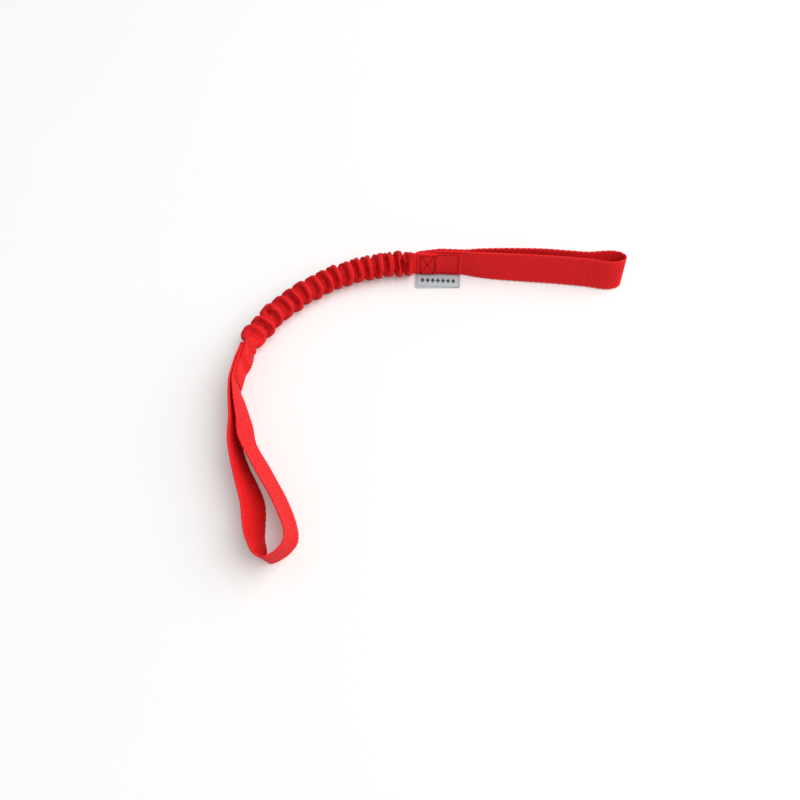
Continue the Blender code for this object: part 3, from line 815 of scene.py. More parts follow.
# The section of a pleat, from the valley on the hand side to the next one, as pairs of a place in
# pleats and a height. Near the hand: where the pleat faces up, near the floor in front, and at
# the back. In the far half: where it faces up, and at the back
PLEAT_SHARES = (
    (0.00, 0.00, 0.00, 0.00, 0.00, 0.00, 0.00, 0.00, 0.00, 0.00),
    (-0.01, 0.42, 0.01, 0.38, -0.01, 0.42, -0.03, 0.36, 0.02, 0.42),
    (-0.01, 0.80, 0.05, 0.74, 0.01, 0.82, -0.07, 0.72, 0.06, 0.80),
    (0.04, 0.97, 0.13, 0.93, 0.07, 0.99, -0.07, 0.97, 0.13, 0.97),
    (0.14, 1.01, 0.24, 1.00, 0.16, 1.00, 0.04, 1.03, 0.23, 1.01),
    (0.26, 1.00, 0.36, 1.01, 0.27, 0.92, 0.17, 1.01, 0.34, 1.00),
    (0.37, 0.94, 0.48, 0.99, 0.38, 0.78, 0.25, 0.92, 0.45, 0.97),
    (0.45, 0.76, 0.60, 0.95, 0.48, 0.84, 0.30, 0.70, 0.56, 0.94),
    (0.54, 0.48, 0.71, 0.86, 0.59, 0.95, 0.36, 0.46, 0.66, 0.86),
    (0.66, 0.21, 0.82, 0.68, 0.72, 0.82, 0.50, 0.22, 0.77, 0.66),
    (0.82, 0.05, 0.92, 0.38, 0.87, 0.44, 0.75, 0.05, 0.89, 0.30),
    (1.00, 0.00, 1.00, 0.00, 1.00, 0.00, 1.00, 0.00, 1.00, 0.00),
)

# Folds across the pleats: from one place and turn to another, half width, and how far out they
# come in shares of the full radius: ridges about 1, creases below
FOLD_SHARES = (
    (0.45, 3.2, 0.35, 2.1, 0.36, 0.90),
    (1.50, 2.7, 1.10, 1.90, 0.22, 1.06),
    (1.10, 1.90, 0.62, 1.00, 0.11, 1.09),
    (1.06, 1.15, 1.02, 0.0, 0.13, 0.46),
    (2.95, 2.2, 2.30, 1.45, 0.13, 1.03),
    (2.62, 1.9, 2.66, 1.75, 0.07, 0.60),
    (5.30, 1.2, 5.36, 0.3, 0.05, 0.92),
    (8.28, 0.9, 8.32, 0.0, 0.05, 0.92),
    (11.30, 1.4, 11.26, 0.4, 0.05, 0.90),
    (13.75, 2.3, 13.10, 1.35, 0.13, 1.03),
    (13.48, 1.9, 13.42, 1.60, 0.08, 0.55),
    (14.30, 1.0, 14.34, 0.1, 0.05, 0.92),
)


# Where the sections hold, by the turn round the sleeve: 0 in front, pi / 2 on top. Near the floor
# in front: middle, half width and fade; at the back: start, rise, end and fall
LOW_MIDDLE, LOW_HALF, LOW_FADE = 5.76, 0.35, 0.7
BACK_START, BACK_RISE, BACK_END, BACK_FALL = 1.7, 0.7, 3.3, 0.8

# How the pleats change on the way to the far end: how soon the far half's section takes over, and
# by how much the crests grow sharper near the floor, narrower, and leaning on their camera side
FAR_SECTION_RATE = 1.3
FAR_SHARPENING = 0.9
FAR_NARROWING = 0.09
FAR_CREST_LEAN, FAR_CREST_LEAN_TURN = 0.10, 1.05

# Valleys: filled up near the floor in front, less so towards the far end and around the V fold by
# the hand neck, and a little deeper everywhere towards the far end
VALLEY_FILL, FAR_FILL_LOSS = 0.0020, 0.0009
FOLD_FILL_LOSS, FOLD_FILL_PLACE, FOLD_FILL_WIDTH = 0.0014, 1.5, 0.8
FAR_VALLEY_DEPTH = 0.0004

# The crests' lean differs by this share, at a turn that moves on by this much with every pleat
LEAN_CHANGE, LEAN_CHANGE_TURN = 0.5, 2.1

# Shares of the crumple in the crests and in the valleys
CREST_CRUMPLE, VALLEY_CRUMPLE = 0.6, 0.4

# How much a radian round the sleeve counts beside a pleat along it, in the distance from a fold
TURN_WEIGHT = 0.9

# The flank share also paints shade into the webbing's colour, besides flattening the ribs
# The hollow flank of a pleat: its middle and width; how far a crest may rise over its radius, and
# the room that a valley leaves round the elastic
FLANK_PLACE, FLANK_WIDTH = 0.72, 0.15
CREST_RISE = 0.0008
ELASTIC_ROOM = 3 * CLEARANCE


def smooth_rows(rows, t):
    """Values of a table at each t from 0 to 1, on cubics through its evenly spaced rows.

    A cubic has the values of its two rows, and at each the slope between that row's neighbours.
    """
    rows = np.array(rows)
    slopes = np.gradient(rows, axis=0)
    place = np.asarray(t) * (len(rows) - 1)
    first = np.clip(np.floor(place).astype(int), 0, len(rows) - 2)
    shares = cubic_shares((place - first)[:, None])
    start = shares[0] * rows[first] + shares[1] * slopes[first]
    return start + shares[2] * rows[first + 1] - shares[3] * slopes[first + 1]


def wrapped(turn):
    """The same turn between minus half a turn and half a turn."""
    return np.remainder(turn + math.pi, 2 * math.pi) - math.pi


def folded(radius, full, place, turn):
    """The radius with the folds across the pleats.

    A bell round a straight run in place and turn draws it out, or in, to the fold's share of the
    full radius.
    """
    for place_a, turn_a, place_b, turn_b, width, reach in FOLD_SHARES:
        x, y = place - place_a, TURN_WEIGHT * wrapped(turn - turn_a)
        run = np.array([place_b - place_a, TURN_WEIGHT * (turn_b - turn_a)])
        share = np.clip((x * run[0] + y * run[1]) / (run @ run), 0, 1)
        distance = np.hypot(x - share * run[0], y - share * run[1])
        radius = radius + (reach * full - radius) * bell(distance, width)
    return radius


def pleat_section(share, turn, onward):
    """Place and height in the pleat at each share of its cloth, from the table.

    Three sections stand side by side round the sleeve and turn smoothly into each other, and the
    upper and the back one also change from those near the hand to those of the far half.
    """
    rows = smooth_rows(PLEAT_SHARES, share)[:, :, None]
    low = 1 - smooth_share((np.abs(wrapped(turn - LOW_MIDDLE)) - LOW_HALF) / LOW_FADE)
    back = smooth_share((turn - BACK_START) / BACK_RISE)
    back = back * (1 - smooth_share((turn - BACK_END) / BACK_FALL))
    up = 1 - low - back
    far = smooth_share(FAR_SECTION_RATE * onward)
    across, height = (
        up * (rows[:, n] + far * (rows[:, n + 6] - rows[:, n]))
        + back * (rows[:, n + 4] + far * (rows[:, n + 8] - rows[:, n + 4]))
        for n in (0, 1)
    )
    low_height = rows[:, 3].clip(0, 2) ** (1 + FAR_SHARPENING * onward)
    return across + low * rows[:, 2], height + low * low_height, low


def pleat_surface(first, last, look, loop):
    """Pleats from one valley to another, as a grid, and how much of each row is hollow flank.

    Each pleat has a steep wall on the hand side, a crest that catches the light, and a hollow flank
    down to the next valley. Near the hand the crests are broad, and doubled at the back; in the far
    half they are narrow bands that lean over to the hand, with single rounded tops at the back.
    The radius goes from the valley's to the crest's by the section's height, and is then folded.
    """
    angle = full_turn(look.sides)
    spread = np.arange(look.steps) / look.steps
    number = np.repeat(np.arange(first, last), look.steps)
    share = np.append(np.tile(spread, last - first), 0.0)
    index = np.append(number, last).astype(float)[:, None]
    turn = angle[None]
    onward = index / PLEAT_COUNT
    across, height, low = pleat_section(share, turn, onward)
    across = across - FAR_NARROWING * onward * np.sin(math.pi * across)
    lean = look.crest_lean * (1 + LEAN_CHANGE * np.sin(LEAN_CHANGE_TURN * index + turn))
    lean = lean + FAR_CREST_LEAN * onward * np.cos(turn - FAR_CREST_LEAN_TURN)
    across = across - lean * height
    crumple = look.crumple
    start = valley_place(index, turn, crumple)
    end = valley_place(np.minimum(index + 1, PLEAT_COUNT), turn, crumple)
    distance = start * (1 - across) + end * across
    full = full_radius(distance)
    bulge = PLEAT_UNEVENNESS * np.sin(turn + BULGE_TURN_SHARE * index)
    bulge = bulge + CREST_CRUMPLE * crumple * uneven(index, turn, seed=2.0)
    place = index + across
    emptied = FOLD_FILL_LOSS * bell(place - FOLD_FILL_PLACE, FOLD_FILL_WIDTH)
    filled = low * (VALLEY_FILL - FAR_FILL_LOSS * onward - emptied)
    valley = look.valley_radius - FAR_VALLEY_DEPTH * onward + filled
    valley = valley + VALLEY_CRUMPLE * crumple * uneven(index, turn, seed=4.0)
    crest = full + bulge * height
    radius = folded(valley + (crest - valley) * height, full, place, turn)
    radius = np.clip(radius, ELASTIC_DIAMETER / 2 + ELASTIC_ROOM, full + CREST_RISE)
    flank = bell(share[:, None] - FLANK_PLACE, FLANK_WIDTH) * (index < PLEAT_COUNT - 1)
    return sleeve_points(distance, turn, radius, loop), flank


# How much flatter the ribs are under the seams, how much higher on the pleats, and how much
# flatter in their flanks; they rise to that within this length
SEAM_FLATTENING = 0.4
PLEAT_RAISING = 0.25
FLANK_FLATTENING = 0.8
LOOSENING_LENGTH = 0.004


def ribbed(grid, flank, look, start_length, pressed=0.0):
    """The same grid with ribs: each point sinks along the surface's normal between two ribs.

    The ribs are counted along the cloth, by the mean distance from row to row of the grid. Up to
    the pressed length they are flattened by the seams. On the pleats they stand out, and least on
    the flanks. Returns the grid, the length at each row and the ribs' height at each row.
    """
    length = start_length + row_lengths(grid)
    rib = rib_profile(length / look.rib_pitch)[:, None]
    loose = smooth_share((length - pressed) / LOOSENING_LENGTH)[:, None]
    on_pleats = (PLEAT_RAISING - FLANK_FLATTENING * flank) * loose
    relief = 1 - SEAM_FLATTENING * (1 - loose) + on_pleats
    sunk = relief * look.rib_depth * (1 - rib)
    out = grid_normals(grid)
    middle = grid.mean(axis=1, keepdims=True)
    facing = np.sign(np.einsum("ijk,ijk->i", out, grid - middle))[:, None, None]
    return grid - out * facing * sunk[..., None], length, 1 - relief * (1 - rib)


def sleeve_uv(grid, length):
    """Weave coordinates in metres: round the sleeve, and along its cloth."""
    columns = grid.shape[1]
    around = TUBE_GIRTH * np.arange(columns + 1) / columns
    return np.stack(np.broadcast_arrays(around[None], length[:, None]), -1)


def seam_lines(loop, kind):
    """Straight runs of a seam, out from the neck and up the face: a box, with a cross or not."""
    if kind == "cross":
        start, length = loop.cross_start, CROSS_LENGTH
    else:
        start = loop.cross_start + CROSS_LENGTH + BOX_SPACING
        length = loop.tab_length - TAB_END_MARGIN - start
    middle = TAB_MIDDLE + SEAM_SHIFTS[kind]
    low, high = middle - STITCH_HEIGHT / 2, middle + STITCH_HEIGHT / 2
    a, b, c, d = (start, low), (start + length, low), (start + length, high), (start, high)
    runs = [(a, b), (b, c), (c, d), (d, a)]
    return runs + [(a, c), (b, d)] if kind == "cross" else runs


def seam_distance(loop, along, up):
    """Distance of points of a face to the nearest seam."""
    nearest = np.full(np.broadcast(along, up).shape, 1.0)
    for kind in SEAM_SHIFTS:
        for (ax, ay), (bx, by) in seam_lines(loop, kind):
            run = np.array([bx - ax, by - ay])
            size = np.hypot(*run)
            share = np.clip(((along - ax) * run[0] + (up - ay) * run[1]) / size**2, 0, 1)
            off = np.hypot(along - ax - share * run[0], up - ay - share * run[1])
            nearest = np.minimum(nearest, off)
    return nearest


def tab_rows(loop, angle, step):
    """Rows of a tab: those inside its mouth and over its rim, and those back along its outside.

    Each point stands at its angle of the pressed tube and its length out from the neck. Waves in
    the length make the cut mouth uneven, and a bell round each seam pulls both faces in.
    """
    reach = loop.tab_length + MOUTH_WAVE * np.sin(9 * angle) + MOUTH_FRAY * np.sin(23 * angle + 1)
    back = np.linspace(MOUTH_DEPTH, 0.0004, 8)[:, None]
    width = TAB_WIDTH - 2 * SLEEVE_WALL
    inside = tab_points(loop, reach - back, angle, width, within=SLEEVE_WALL)
    width = TAB_WIDTH - SLEEVE_WALL
    rim = tab_points(loop, reach + 0.0001, angle, width, within=SLEEVE_WALL / 2)
    along = np.arange(loop.tab_length - 0.0002, -step / 2, -step)[:, None]
    shift = (along / loop.tab_length) ** MOUTH_POWER * (reach - loop.tab_length)
    outside = tab_points(loop, along + shift, angle)
    face, up = pressed_outline(angle, TAB_WIDTH / 2, TAB_THICKNESS / 2)
    off = seam_distance(loop, along, TAB_MIDDLE + up[None])
    pulled = loop.seam_sunk * bell(off, SEAM_WIDTH)
    heading, lean = tab_place(loop)[1:]
    sideways = np.array([-math.sin(heading), math.cos(heading)]) * math.cos(lean)
    through = np.array([*sideways, math.sin(lean)])
    outside = outside - (pulled * np.sign(face))[..., None] * through
    return np.concatenate([inside, rim[None]]), outside


def sleeve_end(loop, look, webbing):
    """A tab with its neck: rows inside its mouth, rows outside it, and the latter's flank shares.

    The rows start inside the mouth, turn over its rim, and run back along the outside to the neck
    and through the pleat beside it.
    """
    angle = full_turn(look.sides)
    inner, outside = tab_rows(loop, angle, webbing.rib_pitch / RINGS_PER_RIB)
    neck = np.linspace(0, 1, 7)[1:-1, None]
    if loop is HAND:
        distance = neck * valley_place(0.0, angle, look.crumple)
        pleats, flank = pleat_surface(0, 1, look, loop)
    else:
        edge = valley_place(float(PLEAT_COUNT), angle, look.crumple)
        distance = BUNGEE_LENGTH - neck * (BUNGEE_LENGTH - edge)
        last_pleat = pleat_surface(PLEAT_COUNT - 1, PLEAT_COUNT, look, loop)
        pleats, flank = (rows[::-1] for rows in last_pleat)
    between = sleeve_points(distance, angle, look.valley_radius, loop)
    flank = np.concatenate([np.zeros((len(outside) + len(between), 1)), flank])
    return inner, np.concatenate([outside, between, pleats]), flank


def sleeve_parts(look, webbing):
    """Ribbed grids of the sleeve with their weave and marks: hand end, pleats, far end."""
    parts = []
    for loop in (HAND, FAR):
        inner, outer, flank = sleeve_end(loop, look, webbing)
        outer, length, rib = ribbed(outer, flank, webbing, 0.0, loop.tab_length)
        before = -np.linspace(MOUTH_DEPTH, 0.0001, len(inner))
        plain = np.ones((len(inner), 1))
        parts.append((
            np.concatenate([inner, outer]), np.concatenate([before, length]),
            np.concatenate([plain, rib]), np.concatenate([0 * plain, flank]),
        ))
    pleats, flank = pleat_surface(1, PLEAT_COUNT - 1, look, HAND)
    parts.insert(1, (*ribbed(pleats, flank, webbing, parts[0][1][-1]), flank))
    # The boundary rings are shared, so that the parts meet without a gap
    parts[1][0][0] = parts[0][0][-1]
    parts[1][0][-1] = parts[2][0][-1]
    placed = []
    hand = hand_frame()
    for grid, length, rib, flank in parts:
        grid = turned(grid, hand.place, hand.turn)
        grid[..., 2] = np.maximum(grid[..., 2], 0)
        marks = {"rib": rib, "edge": np.zeros((1, 1)), "flank": flank}
        placed.append((grid, sleeve_uv(grid, length), marks))
    return placed


# Materials

# Reds laid over the webbing's crests and grooves: rubbed filaments, worn places, painted shade in
# the flanks of the pleats, and a painted highlight along the woven edges
RUBBED_RED = (1.0, 0.04, 0.045, 1.0)
WORN_RED = (0.66, 0.01, 0.014, 1.0)
FLANK_SHADE_RED = (0.42, 0.005, 0.007, 1.0)
EDGE_HIGHLIGHT_RED = (1.0, 0.05, 0.05, 1.0)

# Warp yarns of the webbing stand this far apart
YARN_PITCH = 0.0008

# The label's row of lozenges: its length as a share of the label's, how far out it stands, half
# a lozenge as a share of its place in the row and in metres; and the border line inside the edge
ROW_SHARE = 0.8
ROW_PLACE = 0.0042
LOZENGE_HALF_SHARE = 0.42
LOZENGE_HALF_HEIGHT = 0.0026
BORDER_PLACE = 0.0013
BORDER_HALF_WIDTH = 0.00028


def opaque(colour):
    """A colour with an alpha of 1."""
    return (*colour, 1.0)


def node(tree, kind, inputs=None, **values):
    """A node with its values set and its inputs linked or set."""
    made = tree.nodes.new(kind)
    for key, value in values.items():
        setattr(made, key, value)
    for key, value in (inputs or {}).items():
        plug(tree, value, made.inputs[key])
    return made


def plug(tree, value, socket):
    """Link a socket to what comes out of another node, or set it to a plain value."""
    if isinstance(value, bpy.types.NodeSocket):
        tree.links.new(value, socket)
    elif value is not None:
        socket.default_value = value


def new_material(name, **shader_values):
    """A material with values set on the shader's own sockets, its node tree and its shader."""
    made = bpy.data.materials.new(name)
    made.use_nodes = True
    shader = made.node_tree.nodes["Principled BSDF"]
    for key, value in shader_values.items():
        shader.inputs[key.replace("_", " ")].default_value = value
    return made, made.node_tree, shader


def mix_colours(tree, share, first, second):
    """A colour between two, by a share."""
    made = node(tree, "ShaderNodeMix", data_type="RGBA")
    wanted = (("Factor", "VALUE", share), ("A", "RGBA", first), ("B", "RGBA", second))
    for slot, kind, value in wanted:
        plug(tree, value, next(s for s in made.inputs if s.name == slot and s.type == kind))
    return next(s for s in made.outputs if s.type == "RGBA")


def maths(tree, operation, first, second=None):
    """The outcome of one sum."""
    made = node(tree, "ShaderNodeMath", operation=operation)
    for socket, value in zip(made.inputs, (first, second)):
        plug(tree, value, socket)
    return made.outputs[0]


def weave_places(tree, scale=None):
    """The piece's own weave coordinates in metres, scaled if wanted."""
    weave = node(tree, "ShaderNodeUVMap", uv_map="weave").outputs[0]
    if scale is None:
        return weave
    return node(tree, "ShaderNodeMapping", {"Vector": weave, "Scale": scale}).outputs[0]


def object_places(tree):
    """The piece's own coordinates in metres."""
    return node(tree, "ShaderNodeTexCoord").outputs["Object"]


def noise(tree, places, scale, detail):
    """A soft random pattern between 0 and 1."""
    values = {"Vector": places, "Scale": scale, "Detail": detail}
    return node(tree, "ShaderNodeTexNoise", values).outputs["Fac"]


def slanting_lines(tree, scale, distortion):
    """Lines aslant of the weave: a twill, or the twist of a thread."""
    values = {"Vector": weave_places(tree), "Scale": scale, "Distortion": distortion, "Detail": 1.0}
    return node(tree, "ShaderNodeTexWave", values, bands_direction="DIAGONAL").outputs["Fac"]


def ranged(tree, value, start, end, low=0.0, high=1.0):
    """A value spread evenly from low at start to high at end, and held beyond both."""
    values = {"Value": value, "From Min": start, "From Max": end, "To Min": low, "To Max": high}
    return node(tree, "ShaderNodeMapRange", values).outputs[0]


def surface_finish(tree, shader, colour, relief, strength, distance):
    """Give the shader its colour and a bump from a relief."""
    tree.links.new(colour, shader.inputs["Base Color"])
    values = {"Strength": strength, "Distance": distance, "Height": relief}
    bump = node(tree, "ShaderNodeBump", values).outputs[0]
    tree.links.new(bump, shader.inputs["Normal"])


def ribbed_webbing():
    """Red nylon webbing: ribs, yarns, rubbed filaments, sheen, painted highlights on crests and
    edges, painted shade in grooves and flanks.
    """
    look = settings().webbing
    name = "ribbed_red_webbing"
    if name in bpy.data.materials:
        return bpy.data.materials[name]
    made, tree, shader = new_material(
        name, Sheen_Weight=0.045, Sheen_Roughness=0.4, Sheen_Tint=(1.0, 0.2, 0.18, 1.0), IOR=1.5,
        Specular_IOR_Level=0.12,
    )
    rib, edge, flank = (
        node(tree, "ShaderNodeAttribute", attribute_name=mark).outputs["Fac"]
        for mark in ("rib", "edge", "flank")
    )
    yarns = node(
        tree, "ShaderNodeTexBrick",
        {"Vector": weave_places(tree, (1 / YARN_PITCH, 1 / look.rib_pitch, 1.0)), "Scale": 1.0,
         "Mortar Size": 0.12, "Mortar Smooth": 1.0, "Brick Width": 1.0, "Row Height": 1.0,
         "Color1": (1, 1, 1, 1), "Color2": (0.75, 0.75, 0.75, 1), "Mortar": (0, 0, 0, 1)},
        offset=0.5,
    ).outputs["Fac"]
    filaments = noise(tree, weave_places(tree, (9000.0, 1100.0, 1.0)), 1.0, 2.0)
    broad = noise(tree, object_places(tree), 45.0, 3.0)
    # Painted shade in the grooves and a painted highlight on the crests, by the ribs' height
    ribs = ranged(tree, rib, 0.25, 0.95)
    colour = mix_colours(tree, ribs, opaque(look.groove), opaque(look.crest))
    for share, over in (
        (maths(tree, "MULTIPLY", filaments, 0.22), RUBBED_RED),
        (ranged(tree, broad, 0.35, 0.7, 0.0, 0.25), WORN_RED),
        # Painted shade in the hollow flanks of the pleats
        (maths(tree, "MULTIPLY", flank, 0.85), FLANK_SHADE_RED),
        # Painted highlight along the woven edges
        (maths(tree, "MULTIPLY", edge, 0.18), EDGE_HIGHLIGHT_RED),
    ):
        colour = mix_colours(tree, share, colour, over)
    tree.links.new(ranged(tree, filaments, 0.3, 0.7, 0.5, 0.7), shader.inputs["Roughness"])
    relief = maths(tree, "MULTIPLY", yarns, -1.0)
    relief = maths(tree, "ADD", relief, maths(tree, "MULTIPLY", filaments, 0.5))
    surface_finish(tree, shader, colour, relief, 0.55, 0.00012)
    return made


def sewing_thread(loop):
    """Red twisted thread: a slanting twist along each stitch."""
    look = settings().thread
    thread = look.hand_colour if loop is HAND else look.far_colour
    name = f"{loop.name}_red_thread"
    if name in bpy.data.materials:
        return bpy.data.materials[name]
    made, tree, shader = new_material(name, Roughness=0.75, Specular_IOR_Level=0.1)
    twist = slanting_lines(tree, 900.0, 1.0)
    colour = mix_colours(tree, twist, opaque(0.55 * c for c in thread), opaque(thread))
    surface_finish(tree, shader, colour, twist, 0.5, 0.0001)
    return made


def elastic_rubber():
    """Pale matt rubber cord with fine lines along it."""
    made, tree, shader = new_material("pale_elastic", Roughness=0.72)
    lines = noise(tree, weave_places(tree, (2500.0, 300.0, 1.0)), 1.0, 2.0)
    colour = mix_colours(tree, lines, (0.48, 0.46, 0.4, 1.0), (0.66, 0.64, 0.58, 1.0))
    surface_finish(tree, shader, colour, lines, 0.4, 0.0001)
    return made


def lozenge_row(tree, across, out, lozenges):
    """1 inside a plain row of lozenges, 0 outside.

    The row is cut into equal places. A point is in its place's lozenge where its distances across
    and out from the middle, as shares of the lozenge's halves, add up to less than 1.
    """
    cell = LABEL_LENGTH * ROW_SHARE / lozenges
    # A whole number of places is added, so that no place count is negative
    middle = 100 + 0.5 * (lozenges % 2)
    counted = maths(tree, "ADD", maths(tree, "DIVIDE", across, cell), middle)
    in_place = maths(tree, "SUBTRACT", maths(tree, "FRACT", counted), 0.5)
    along = maths(tree, "DIVIDE", maths(tree, "ABSOLUTE", in_place), LOZENGE_HALF_SHARE)
    up = maths(tree, "ABSOLUTE", maths(tree, "SUBTRACT", out, ROW_PLACE))
    lozenge = maths(tree, "ADD", along, maths(tree, "DIVIDE", up, LOZENGE_HALF_HEIGHT))
    half_row = ROW_SHARE / 2 * LABEL_LENGTH
    in_row = maths(tree, "LESS_THAN", maths(tree, "ABSOLUTE", across), half_row)
    return maths(tree, "MULTIPLY", maths(tree, "LESS_THAN", lozenge, 1.0), in_row)


def label_cloth():
    """Pale woven label: fine twill, a darker border line and a plain row of lozenges."""
    look = settings().label
    made, tree, shader = new_material("woven_label_cloth", Roughness=0.6, Sheen_Weight=0.25)
    parts = node(tree, "ShaderNodeSeparateXYZ", {"Vector": weave_places(tree)})
    across, out = parts.outputs[0], parts.outputs[1]
    twill = slanting_lines(tree, 480.0, 0.4)
    from_side = maths(tree, "SUBTRACT", LABEL_LENGTH / 2, maths(tree, "ABSOLUTE", across))
    from_fold = maths(tree, "SUBTRACT", LABEL_REACH, out)
    from_edge = maths(tree, "MINIMUM", from_side, from_fold)
    from_border = maths(tree, "ABSOLUTE", maths(tree, "SUBTRACT", from_edge, BORDER_PLACE))
    border = maths(tree, "LESS_THAN", from_border, BORDER_HALF_WIDTH)
    inside = lozenge_row(tree, across, out, look.lozenges)
    colour = mix_colours(tree, twill, opaque(0.88 * c for c in look.cloth), opaque(look.cloth))
    colour = mix_colours(tree, maths(tree, "MULTIPLY", border, 0.7), colour, (0.16, 0.2, 0.2, 1.0))
    colour = mix_colours(tree, inside, colour, opaque(look.motif))
    surface_finish(tree, shader, colour, twill, 0.4, 0.00008)
    return made


# Operators


class TUG_OT_straps(bpy.types.Operator):
    """Weave both straps, ribbed, round their loops"""

    bl_idname = "tug.straps"
    bl_label = "Straps"

    def execute(self, context):
        look = settings().webbing
        for loop, body in ((HAND, "hand_loop"), (FAR, "far_loop")):
            grid, uv, marks = strap_surface(loop, look)
            strap = lattice(
                f"{loop.name}_strap", grid, uv, ribbed_webbing(), marks,
                outward=loop is HAND, caps=(True, True),
            )
            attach(strap, body)
            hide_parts(f"{loop.name}_loop_webbing")
        return {"FINISHED"}


class TUG_OT_sleeve(bpy.types.Operator):
    """Gather the sleeve into pleats between its two sewn tabs"""

    bl_idname = "tug.sleeve"
    bl_label = "Gathered sleeve"

    def execute(self, context):
        look = settings()
        parts = sleeve_parts(look.sleeve, look.webbing)
        names = ("sleeve_hand_end", "sleeve_pleats", "sleeve_far_end")
        made = []
        for name, (grid, uv, marks), outward in zip(names, parts, (True, True, False)):
            piece = lattice(name, grid, uv, ribbed_webbing(), marks, outward=outward)
            made.append(piece)
        bend_sleeve(made)
        for piece in made:
            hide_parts("gathered_sleeve")
        return {"FINISHED"}


# Places by each neck: this far out along its loop and this far in along the sleeve; and places
# this far from both necks on the line between them
BEND_OUTWARDS = 0.003
BEND_INWARDS = 0.0062
STRETCH_MARGIN = 0.0150


def neck_bends():
    """Pairs of places by the hand neck, on the line between the necks, and by the far neck."""
    hand = joint_place("bungee_swing")
    far = joint_place("far_loop_swing")
    chord = (far - hand) / np.linalg.norm(far - hand)
    out_hand = np.array([math.cos(TOY_TURN), math.sin(TOY_TURN), 0])
    far_turn = loop_frame(FAR).turn
    out_far = np.array([math.cos(far_turn), math.sin(far_turn), 0])
    return (
        (hand + BEND_OUTWARDS * out_hand, hand - BEND_INWARDS * out_hand),
        (hand + STRETCH_MARGIN * chord, far - STRETCH_MARGIN * chord),
        (far - BEND_INWARDS * out_far, far + BEND_OUTWARDS * out_far),
    )


def bend_sleeve(pieces):
    """Bake each part's transform into its mesh: the hand end, the part that stretches and the far
    end.
    """
    bodies = (("hand_loop", "bungee"), ("bungee", "bungee_far_end"), ("bungee_far_end", "far_loop"))
    for piece, (start, end), (first, second) in zip(pieces, neck_bends(), bodies):
        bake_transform(piece)


ELASTIC_SIDES = 32


def elastic_parts():
    """Grids of the elastic with their weave: hand tail, cord, far tail.

    A flat tail runs from the end of the crossed box to the neck, turns round there with the
    sleeve, and goes on as a round cord along the arc.
    """
    angle = full_turn(ELASTIC_SIDES)
    first = float(valley_place(1.0, angle, 0.0).mean())
    last = float(valley_place(PLEAT_COUNT - 1.0, angle, 0.0).mean())
    tail = (ELASTIC_TAIL_WIDTH, ELASTIC_TAIL_THICKNESS)
    grids = []
    for loop, until in ((HAND, first), (FAR, BUNGEE_LENGTH - last)):
        reach = loop.cross_start + CROSS_LENGTH
        flat = tab_points(loop, np.linspace(reach, 0, 12)[:, None], angle, *tail)
        inwards = np.linspace(0, until, 14)[1:, None]
        distance = inwards if loop is HAND else BUNGEE_LENGTH - inwards
        cord = sleeve_points(distance, angle, ELASTIC_DIAMETER / 2, loop, *tail)
        grids.append(np.concatenate([flat, cord]))
    middle = np.linspace(first, last, 90)[:, None]
    grids.insert(1, sleeve_points(middle, angle, ELASTIC_DIAMETER / 2, HAND, *tail))
    # The boundary rings are shared, as in the sleeve
    grids[1][0] = grids[0][-1]
    grids[1][-1] = grids[2][-1]
    hand = hand_frame()
    around = math.pi * ELASTIC_DIAMETER * np.arange(ELASTIC_SIDES + 1) / ELASTIC_SIDES
    parts = []
    for grid in grids:
        grid = turned(grid, hand.place, hand.turn)
        uv = np.stack(np.broadcast_arrays(around[None], row_lengths(grid)[:, None]), -1)
        parts.append((grid, uv))
    return parts


class TUG_OT_elastic(bpy.types.Operator):
    """Lay the elastic cord inside the sleeve, with its tails pressed flat"""

    bl_idname = "tug.elastic"
    bl_label = "Elastic"

    def execute(self, context):
        surface = elastic_rubber()
        made = []
        for name, (grid, uv), outward, tail in zip(
            ("elastic_hand_tail", "elastic_cord", "elastic_far_tail"), elastic_parts(),
            (True, True, False), (True, False, True),
        ):
            piece = lattice(name, grid, uv, surface, outward=outward, caps=(tail, False))
            made.append(piece)
        bend_sleeve(made)
        for piece in made:
            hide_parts("elastic_core")
        return {"FINISHED"}


# A stitch: points along it and round it, the gap at each needle hole, how high its arch stands and
# how deep it starts as shares of the thread's radius, and how thin its ends are
STITCH_STEPS, STITCH_SIDES = 7, 6
NEEDLE_GAP = 0.00025
ARCH_RISE, ARCH_DEPTH = 1.6, 1.3
THIN_END = 0.55


def stitch_row(runs, pitch):
    """Starts and ends of the stitches along straight runs, with a gap where the needle went in."""
    starts, ends = [], []
    for first, last in runs:
        first, last = np.array(first), np.array(last)
        size = np.linalg.norm(last - first)
        edges = np.linspace(0, 1, max(1, int(round(size / pitch))) + 1)
        gap = NEEDLE_GAP / size
        starts.append(first + (edges[:-1, None] + gap) * (last - first))
        ends.append(first + (edges[1:, None] - gap) * (last - first))
    return np.concatenate(starts), np.concatenate(ends)


